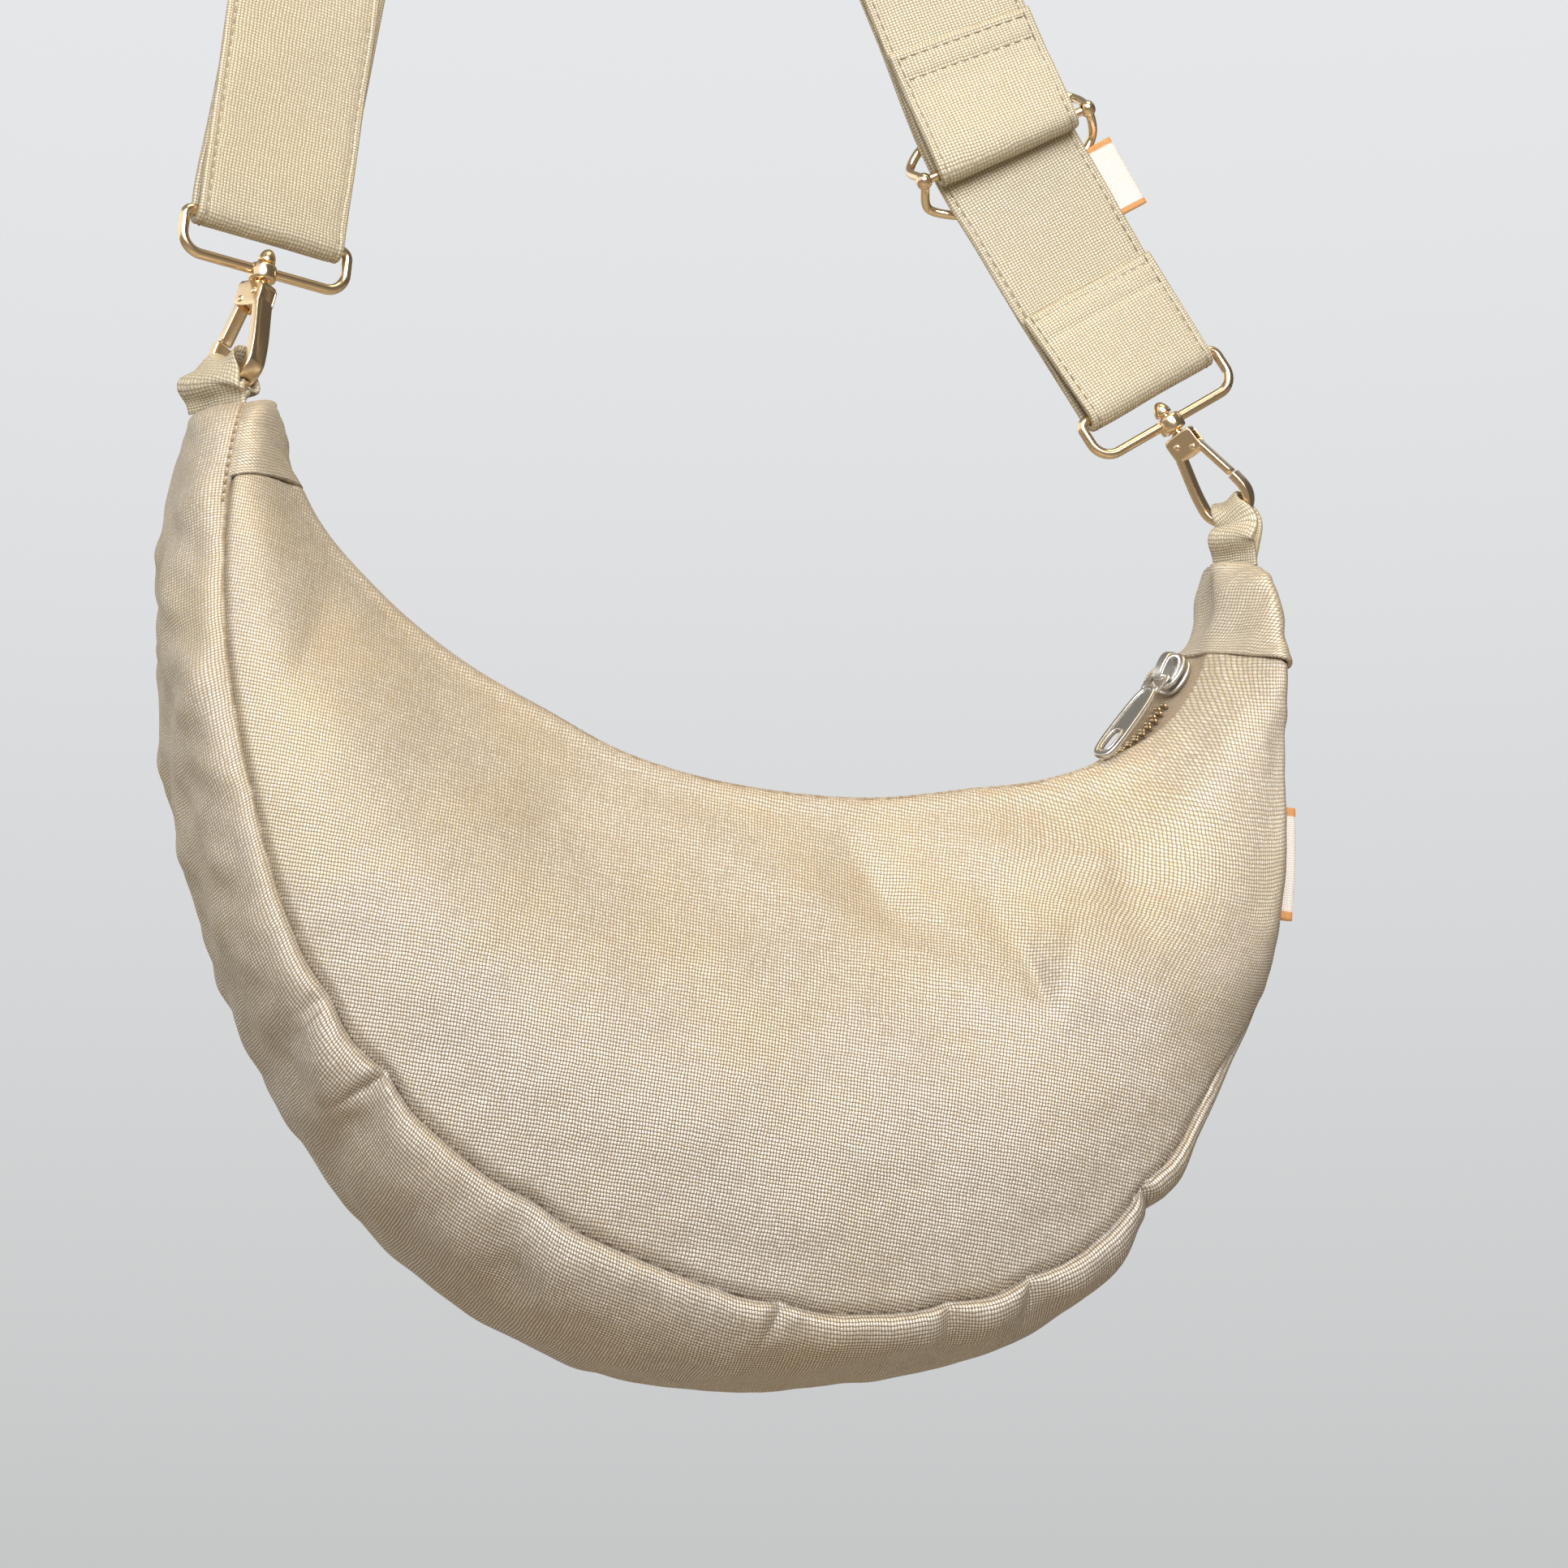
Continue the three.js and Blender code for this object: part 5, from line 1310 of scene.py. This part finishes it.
def strap_rows():
    """Stations from the sewn end at the right ring, over the peg, round the left ring, to the adjuster."""
    settled = on_right_leg(LOWER_LENGTH - FLAP_RIGHT, 0)
    bend = station(RIGHT_BEND, RUN.across)
    rows = straight(on_right_leg(LOWER_LENGTH - FLAP_RIGHT, LAYER), beside_bar(RIGHT_LEG, -1), 30)
    rows += round_bar(ring_bar(RIGHT_LEG), RIGHT_LEG, BAR_RADIUS, STRAP_AT_RING, False)
    rows += straight(RIGHT_FOOT, settled, 4)
    rows += straight(settled, bend, 2)[1:]
    rows += straight(bend, OVER_INNER[0], 9)[1:-1]
    rows += OVER_INNER
    rows += straight(OVER_INNER[-1], beside_bar(LEFT_LEG, -1), 14)[1:]
    rows += round_bar(ring_bar(LEFT_LEG), LEFT_LEG, BAR_RADIUS, STRAP_AT_RING, False)
    rows += straight(beside_bar(LEFT_LEG, 1), OVER_OUTER[0], 14, LAYER_SLIP)[:-1]
    rows += OVER_OUTER
    rows += straight(OVER_OUTER[-1], on_right_leg(-2, LAYER), 9)[1:]
    rows += round_bar(ADJUSTER_CENTRE, RUN, ADJUSTER_BAR, STRAP_WIDTH, True)
    flap = on_right_leg(-22, 2 * LAYER)
    rows += straight(on_right_leg(-3, LAYER + 2 * ADJUSTER_BAR), flap, 3)
    rows += straight(flap, on_right_leg(-FLAP_ADJUSTER, 2 * LAYER), 14)[1:]
    return np.array(rows)


def strap_way(step=2.2):
    """Smooth way of the strap: places, directions across and out, widths and length."""
    rows = strap_rows()
    line, length = smooth_way(rows[:, :3], step, rows[:, 3:])
    at, across, width = line[:, :3], line[:, 3:6], line[:, 6]
    ahead = tangents(at)
    across = unit(across - ahead * np.sum(across * ahead, axis=1, keepdims=True))
    return at, across, np.cross(across, ahead), width, length


STITCH_INSET = 2.1
END_ROWS = (2.2, 8.2)


def strap_piece():
    """Flat band with soft edges and a shallow groove under each line of stitching."""
    at, across, out, width, length = strap_way()
    inset = np.array([0, 0.22, 0.6, 1.1, 1.7, STITCH_INSET, 2.6, 3.4, 5.5, 9, 13, 17])
    edge = np.concatenate([inset, [20.2], inset[::-1]])
    left = np.arange(len(edge)) < len(inset)
    middle = np.arange(len(edge)) == len(inset)
    thick = 0.5 * STRAP * np.sqrt(1 - (1 - np.minimum(edge, 0.95) / 0.95) ** 2)
    thick = thick - 0.22 * hump((edge - STITCH_INSET) / 0.6)
    from_end = np.minimum(length, length[-1] - length)[:, None]
    rounded = np.sqrt(1 - (1 - np.clip(from_end / 0.9, 0.03, 1)) ** 2)
    thick = thick * rounded - 0.34 * sum(hump((from_end - row) / 0.8) for row in END_ROWS) * (edge > 1.8)
    half = width[:, None] / 2
    offset = np.where(middle, 0, np.where(left, -half + edge * half / 20.25, half - edge * half / 20.25))
    sway = rippled(length[:, None], offset, ((0.16, 46, 51), (0.07, 17, 52)))
    flat = np.stack([length[:, None] + 0 * offset, offset], axis=-1)
    form = Form()
    add_tube(form, band_rings(at, across, out, offset, sway, thick), places=both_faces(flat))
    form.piece("strap_cloth", STRAP_LINEN, ["strap"])


def add_stitches(form, way, normals, pitch, length, radius, sides=6):
    """Short rounded stitches that dip into the cloth at both ends."""
    run = run_length(way)
    at = np.arange(pitch / 2, run[-1], pitch)
    place = points_at(at, run, way)
    normal = unit(points_at(at, run, normals))
    ahead = unit(points_at(at, run, tangents(way)))
    sideways = np.cross(normal, ahead)
    share = np.array([-1, -0.72, 0, 0.72, 1])
    rise = radius * np.array([-0.9, 0.25, 0.75, 0.25, -0.9])
    size = radius * np.array([0.5, 0.95, 1, 0.95, 0.5])
    step = share * length / 2
    turn = 2 * math.pi * np.arange(sides) / sides
    c, s = np.cos(turn)[:, None], np.sin(turn)[:, None]
    spine = place[:, None] + ahead[:, None] * step[:, None] + normal[:, None] * rise[:, None]
    circle = sideways[:, None, None] * c + normal[:, None, None] * s
    rings = spine[:, :, None] + circle * size[:, None, None]
    count = len(share) * sides
    starts = count * np.arange(len(at))
    quads = (tube_faces(len(share), sides)[None] + starts[:, None, None]).reshape(-1, 4)
    ends = []
    for first in starts.tolist():
        last = first + count - 1
        ends += [range(first, first + sides), range(last, last - sides, -1)]
    flat = np.broadcast_arrays(at[:, None, None] + step[:, None], turn * radius)
    form.add(rings, quads, ends, np.stack(flat, axis=-1))


def strap_stitch_piece():
    """Topstitching along both edges of the strap, and the rows that hold its two sewn ends."""
    at, across, out, width, length = strap_way()
    form = Form()
    for face in (-1, 1):
        for side in (-1, 1):
            line = at + across * (side * (width / 2 - STITCH_INSET))[:, None]
            add_stitches(form, line + out * face * 0.8, out * face, 3.1, 2.3, 0.2)
    for below, forward in ((LOWER_LENGTH - FLAP_RIGHT, LAYER), (-FLAP_ADJUSTER, 2 * LAYER)):
        axes = leg_axes(below)
        for drop in END_ROWS:
            centre = on_right_leg(below, forward)[:3] - axes.up * drop - axes.back * (STRAP / 2 - 0.3)
            span = np.linspace(-STRAP_WIDTH / 2 + 2.2, STRAP_WIDTH / 2 - 2.2, 24)[:, None]
            line = centre + axes.across * span
            add_stitches(form, line, np.repeat(-axes.back[None], len(line), axis=0), 3.0, 2.2, 0.26)
    form.piece("strap_stitches", THREAD)


def closed_way(points, count):
    """Even places round a smooth closed curve: the middle one of three turns."""
    points = np.asarray(points, float)
    turns = np.concatenate([points, points, points, points[:1]])
    line, length = smooth_way(turns, 0.5)
    corner = run_length(turns)
    start, end = corner[len(points)], corner[2 * len(points)]
    return points_at(np.linspace(start, end, count, endpoint=False), length, line)


def adjuster_piece():
    """Bent wire frame behind the strap with a bar in front and a knob at both ends of the bar."""
    axes = Axes(ADJUSTER_CENTRE, RUN.across, RUN.back, RUN.up)
    behind = ADJUSTER_BAR + LAYER + STRAP / 2 + 0.75 + ADJUSTER_WIRE
    wide, high = ADJUSTER_HALF_WIDTH, ADJUSTER_HALF_HEIGHT

    def side(x):
        return [
            (x * 0.8 * wide, behind, -x * high),
            (x * wide, behind - 0.6, -x * 0.62 * high),
            (x * wide, 0, 0),
            (x * wide, behind - 0.6, x * 0.62 * high),
            (x * 0.8 * wide, behind, x * high),
        ]

    path = side(1) + [(-8, behind, high)] + side(-1) + [(8, behind, -high)]
    form = Form()
    add_tube(form, axes.at(wire_rings(closed_way(path, 160), ADJUSTER_WIRE, 18, True)), closed=True)
    bar = np.stack([np.linspace(-wide, wide, 12), np.zeros(12), np.zeros(12)], axis=-1)
    add_tube(form, axes.at(wire_rings(bar, ADJUSTER_WIRE, 18)))
    t = np.linspace(0.03, 0.97, 15) * math.pi
    profile = np.stack([np.sin(t) ** 0.85, -0.9 * np.cos(t)], axis=-1) * ADJUSTER_KNOB
    lying = lathe_rings(profile, 28)[..., ::-1]
    for x in (-1, 1):
        add_tube(form, axes.at(lying + [x * wide, 0, 0]))
    form.piece("adjuster_metal", GOLD, ["strap_adjuster"], crease=60)


strap_piece()
strap_stitch_piece()
adjuster_piece()

# Gathered linen loops at the tips

LOOP = 2.2
LOOP_WIDTH = 16.0
LOOP_GATHERED = 7.0
LOOP_GATHERED_THICKNESS = 3.2
LOOP_BULGE = 6.0


def loop_piece(side, hook, way, tip_angle, outward, slope, shape, seed):
    """Band that rises from a tip, lies like a trough in the hook's bend and comes down again."""
    start, end = skin(tip_angle, 0), skin(tip_angle, 1.5)
    tip = bag_place(start + (end - start) * outward)
    inside = BEND_RADIUS - HOOK_THICKNESS / 2
    clear = inside - math.sqrt(inside**2 - (LOOP_GATHERED / 2 + 0.3) ** 2)
    crown = hook.place + hook.up * (-BEND_DEPTH - inside + clear + 0.3 + LOOP_GATHERED_THICKNESS / 2)
    tip_up = unit(bag_place(np.array([-slope, 0, 1.0])) - BAG_CENTRE)
    tip_up = unit(tip_up + unit(crown - tip))
    foot = tip + tip_up * 1.8
    sideways = unit(hook.back - tip_up * np.dot(hook.back, tip_up))
    height = np.linalg.norm(crown - foot)

    def half(turn):
        return [
            foot + sideways * turn * 0.55 * LOOP - tip_up * 1.5,
            foot + sideways * turn * 0.42 * LOOP_BULGE + tip_up * 0.1 * height,
            foot + sideways * turn * 0.9 * LOOP_BULGE + tip_up * 0.34 * height,
            crown + hook.back * turn * LOOP_BULGE - hook.up * 0.36 * height,
            crown + hook.back * turn * 0.75 * LOOP_BULGE - hook.up * 0.1 * height,
        ]

    line, length = smooth_way(half(-1) + [crown] + half(1)[::-1], 0.5)
    rise = 1 - np.abs(2 * length / length[-1] - 1)
    to_crown = smooth_step((rise - 0.4) / 0.46)[:, None]
    width = shape["foot"] + (shape["middle"] - shape["foot"]) * smooth_step(rise / 0.45)[:, None]
    width = width + (shape["crown"] - width) * to_crown
    foot_across = unit(hook.across - tip_up * np.dot(hook.across, tip_up))
    ahead = tangents(line)
    across = foot_across * (1 - to_crown) + hook.across * to_crown
    across = unit(across - ahead * np.sum(across * ahead, axis=1, keepdims=True))
    out = np.cross(across, ahead)
    a = np.sin(np.linspace(-1, 1, 37) * math.pi / 2)[None, :]
    thick = 0.5 * (LOOP - 0.3 * to_crown) * np.sqrt(np.maximum(1 - np.abs(a) ** 8, 0))
    behind = smooth_step((length / length[-1] - 0.5) / 0.16)[:, None]
    offset = a * width / 2 * (1 + (shape["ahead"] * (1 - behind) - shape["behind"] * behind) * (a > 0))
    horn = np.where(a * way > 0, shape["gate_horn"], shape["shank_horn"])
    curl = horn * to_crown**1.5 * np.abs(a) ** 2.2 * (1 - 0.6 * behind)
    barrel = -shape["barrel"] * hump((rise - 0.5)[:, None] / 0.3) * a**2
    gathers = 0.08 * to_crown * np.sin(5.0 * a + 0.6 * seed)
    gathers = gathers + 0.14 * ripples(offset, length[:, None], 12, seed)
    lift = curl + barrel + gathers * (1 - 0.6 * a**2)
    flat = np.stack(np.broadcast_arrays(length[:, None], a * LOOP_WIDTH / 2), axis=-1)
    form = Form()
    add_tube(form, band_rings(line, across, out, offset, lift, thick), places=both_faces(flat))
    form.piece(f"loop_{side}_cloth", STRAP_LINEN, [f"loop_{side}"])


LOOP_COLUMNS = ("foot", "middle", "crown", "gate_horn", "shank_horn", "barrel", "ahead", "behind")
LEFT_LOOP = dict(zip(LOOP_COLUMNS, (17.0, 20.0, 7.4, 2.2, 4.2, 1.4, 0.14, 0.3)))
RIGHT_LOOP = dict(zip(LOOP_COLUMNS, (12.4, 13.0, 7.4, 1.0, 2.0, 0.6, 0.0, 0.15)))
loop_piece("left", LEFT_HOOK, -1, TIP_START, 0.7, TIP_SLANT, LEFT_LOOP, 61)
loop_piece("right", RIGHT_HOOK, 1, TIP_END, 0.6, 0.0, RIGHT_LOOP, 71)

# Blank tabs and the seam's hand stitches

BAG_TAB = {"start": 146.0, "end": 155.0, "reach": 7.0, "band": 1.12}
STRAP_TAB = {"below": 20.0, "length": 20.0, "reach": 7.0}
TAB_ROWS = 33
TAB_ROOT = 0.8


def add_tab(form, root, out, thick, reach, cols=9):
    """Small doubled piece of ribbon: rows run along its root, columns outwards."""
    share = np.linspace(-1, 1, TAB_ROWS)
    step = np.linspace(0, 1, cols)
    height = 0.42 * np.sqrt(np.maximum(1 - step**8, 0.05))
    sway = 0.25 * np.sin(2.1 * share)[:, None] * step[None, :]
    base = root[:, None] + out[:, None] * (step * reach)[None, :, None]
    top = base + thick[:, None] * (sway + height)[..., None]
    low = base + thick[:, None] * (sway - height)[..., None]
    rings = np.concatenate([top, low[:, ::-1]], axis=1)
    flat = np.stack(np.broadcast_arrays(10 * share[:, None], (step * reach)[None, :]), axis=-1)
    add_tube(form, rings, places=np.concatenate([flat, flat[:, ::-1]], axis=1))


def bag_tab_piece():
    """Tab sewn into the gusset on the right arm, pointing to the right."""
    angle = np.linspace(BAG_TAB["start"], BAG_TAB["end"], TAB_ROWS)
    root = bag_place(skin(angle, BAG_TAB["band"]))
    along = unit(np.gradient(root, axis=0))
    to_right = np.array([1.0, -0.1, 0.0])
    out = unit(to_right - along * np.sum(along * to_right, axis=1, keepdims=True))
    form = Form()
    add_tab(form, root - out * TAB_ROOT, out, np.cross(along, out), BAG_TAB["reach"] + 1)
    form.piece("bag_tab_cloth", TAB_CLOTH, ["label_bag"])


def strap_tab_piece():
    """Tab sewn into the strap's right edge."""
    axes = leg_axes(STRAP_TAB["below"])
    centre = on_right_leg(STRAP_TAB["below"], 0)[:3] + axes.across * (STRAP_WIDTH / 2 - TAB_ROOT)
    span = np.linspace(0.5, -0.5, TAB_ROWS)[:, None] * STRAP_TAB["length"]
    across, back = (np.repeat(way[None], TAB_ROWS, axis=0) for way in (axes.across, axes.back))
    form = Form()
    add_tab(form, centre + axes.up * span, across, back, STRAP_TAB["reach"] + 1)
    form.piece("strap_tab_cloth", TAB_CLOTH, ["label_strap"])


def seam_stitch_piece():
    """Hand stitches on the front seam near the left tip."""
    angle = np.linspace(0.6, 13.5, 80)
    front = bag_place(skin(angle, 0.985))
    side = bag_place(skin(angle, 1.03))
    way = (front + side) / 2
    along = unit(np.gradient(way, axis=0))
    normal = unit(np.cross(side - front, along))
    form = Form()
    add_stitches(form, way + normal * 0.12, normal, 2.4, 1.5, 0.36)
    form.piece("seam_stitches", SEAM_THREAD)


bag_tab_piece()
strap_tab_piece()
seam_stitch_piece()

# Camera at the photograph's angle

CAMERA_LENS = 92.24
SENSOR_WIDTH = 36.0
CAMERA_PLACE = (-0.1289, -0.9455, -0.7592)
CAMERA_AIM = (0.0894, 0.0, -0.5173)


def set_looking(thing, place, target):
    """Puts a camera or lamp at its place, looking at the target."""
    thing.location = place
    thing.rotation_euler = (Vector(target) - Vector(place)).to_track_quat("-Z", "Y").to_euler()
    bpy.context.scene.collection.objects.link(thing)


camera = bpy.data.objects.new("view_camera", bpy.data.cameras.new("view_camera"))
camera.data.lens = CAMERA_LENS
camera.data.sensor_width = SENSOR_WIDTH
set_looking(camera, CAMERA_PLACE, CAMERA_AIM)
bpy.context.scene.camera = camera

# Floor, world and soft lights

FLOOR_HEIGHT = -1.2
FLOOR_REACH = 30.0
FLOOR_DARK = (0.62, 0.54, 0.43, 1)
FLOOR_PALE = (0.66, 0.585, 0.475, 1)
AROUND_LOW = (0.40, 0.40, 0.40, 1)
AROUND_HIGH = (0.80, 0.81, 0.82, 1)
AROUND_RIGHT = (0.11, 0.095, 0.08, 1)
AROUND_LEFT = (1.10, 1.06, 0.98, 1)
FRONT_LEFT = (0.95, 0.94, 0.92, 1)
FRONT_RIGHT = (0.14, 0.12, 0.10, 1)
FRONT_LOW = (0.12, 0.085, 0.055, 1)
OVERHEAD = (0.24, 0.23, 0.21, 1)
BAG_MIDDLE = (0.08, 0.0, -0.5)
# Lights: name, place, size, power and colour
LIGHTS = (
    ("front_softbox", (-0.2, -1.75, 0.2), 1.4, 8.3, (0.98, 0.985, 1.0)),
    ("top_softbox", (0.3, -0.6, 1.1), 0.9, 2.2, (1.0, 0.72, 0.36)),
    ("strip_softbox", (0.42, -1.7, 0.1), 0.6, 0.9, (1.0, 0.98, 0.95)),
)
LIGHT_SPREAD = 80.0


def floor_material():
    material, g, shader = start_material("studio_floor")
    place = g.node("ShaderNodeTexCoord").outputs["Object"]
    cloud = g.noise(place, 1.4, 3.0).outputs[0]
    g.set(shader["Base Color"], g.blend(cloud, FLOOR_DARK, FLOOR_PALE))
    g.set(shader["Roughness"], 0.7)
    return material


def studio_floor():
    mesh = bpy.data.meshes.new("studio_floor")
    sides = ((-1, -1), (1, -1), (1, 1), (-1, 1))
    corners = [(x * FLOOR_REACH, y * FLOOR_REACH, FLOOR_HEIGHT) for x, y in sides]
    mesh.from_pydata(corners, [], [(0, 1, 2, 3)])
    mesh.materials.append(floor_material())
    floor = bpy.data.objects.new("studio_floor", mesh)
    bpy.context.scene.collection.objects.link(floor)


def soft_light(name, place, size, power, colour):
    light = bpy.data.lights.new(name, "AREA")
    light.shape = "DISK"
    light.size = size
    light.energy = power
    light.spread = math.radians(LIGHT_SPREAD)
    light.color = colour
    set_looking(bpy.data.objects.new(name, light), place, BAG_MIDDLE)


def studio_world():
    """Light from all round: bright to the left and from the viewer's side, dark to the right and overhead."""
    world = bpy.data.worlds.new("studio_world")
    bpy.context.scene.world = world
    world.use_nodes = True
    g = Graph(world.node_tree)
    background = next(n for n in world.node_tree.nodes if n.type == "BACKGROUND")
    x, y, z = g.split(g.node("ShaderNodeTexCoord").outputs["Generated"])
    around = g.blend(g.ramp(z, -0.3, 0.5), AROUND_LOW, AROUND_HIGH)
    around = g.blend(g.ramp(x, 0.42, 0.62), around, AROUND_RIGHT)
    around = g.blend(g.ramp(x, -0.2, -0.6), around, AROUND_LEFT)
    front = g.blend(g.ramp(x, -0.1, 0.4), FRONT_LEFT, FRONT_RIGHT)
    front = g.blend(g.ramp(z, -0.2, 0.25), FRONT_LOW, front)
    around = g.blend(g.ramp(y, -0.1, -0.5), around, front)
    g.set(background.inputs["Color"], g.blend(g.ramp(z, 0.5, 0.75), around, OVERHEAD))
    g.set(background.inputs["Strength"], 1.0)


studio_floor()
studio_world()
for row in LIGHTS:
    soft_light(*row)

bpy.context.scene.view_settings.view_transform = "Standard"
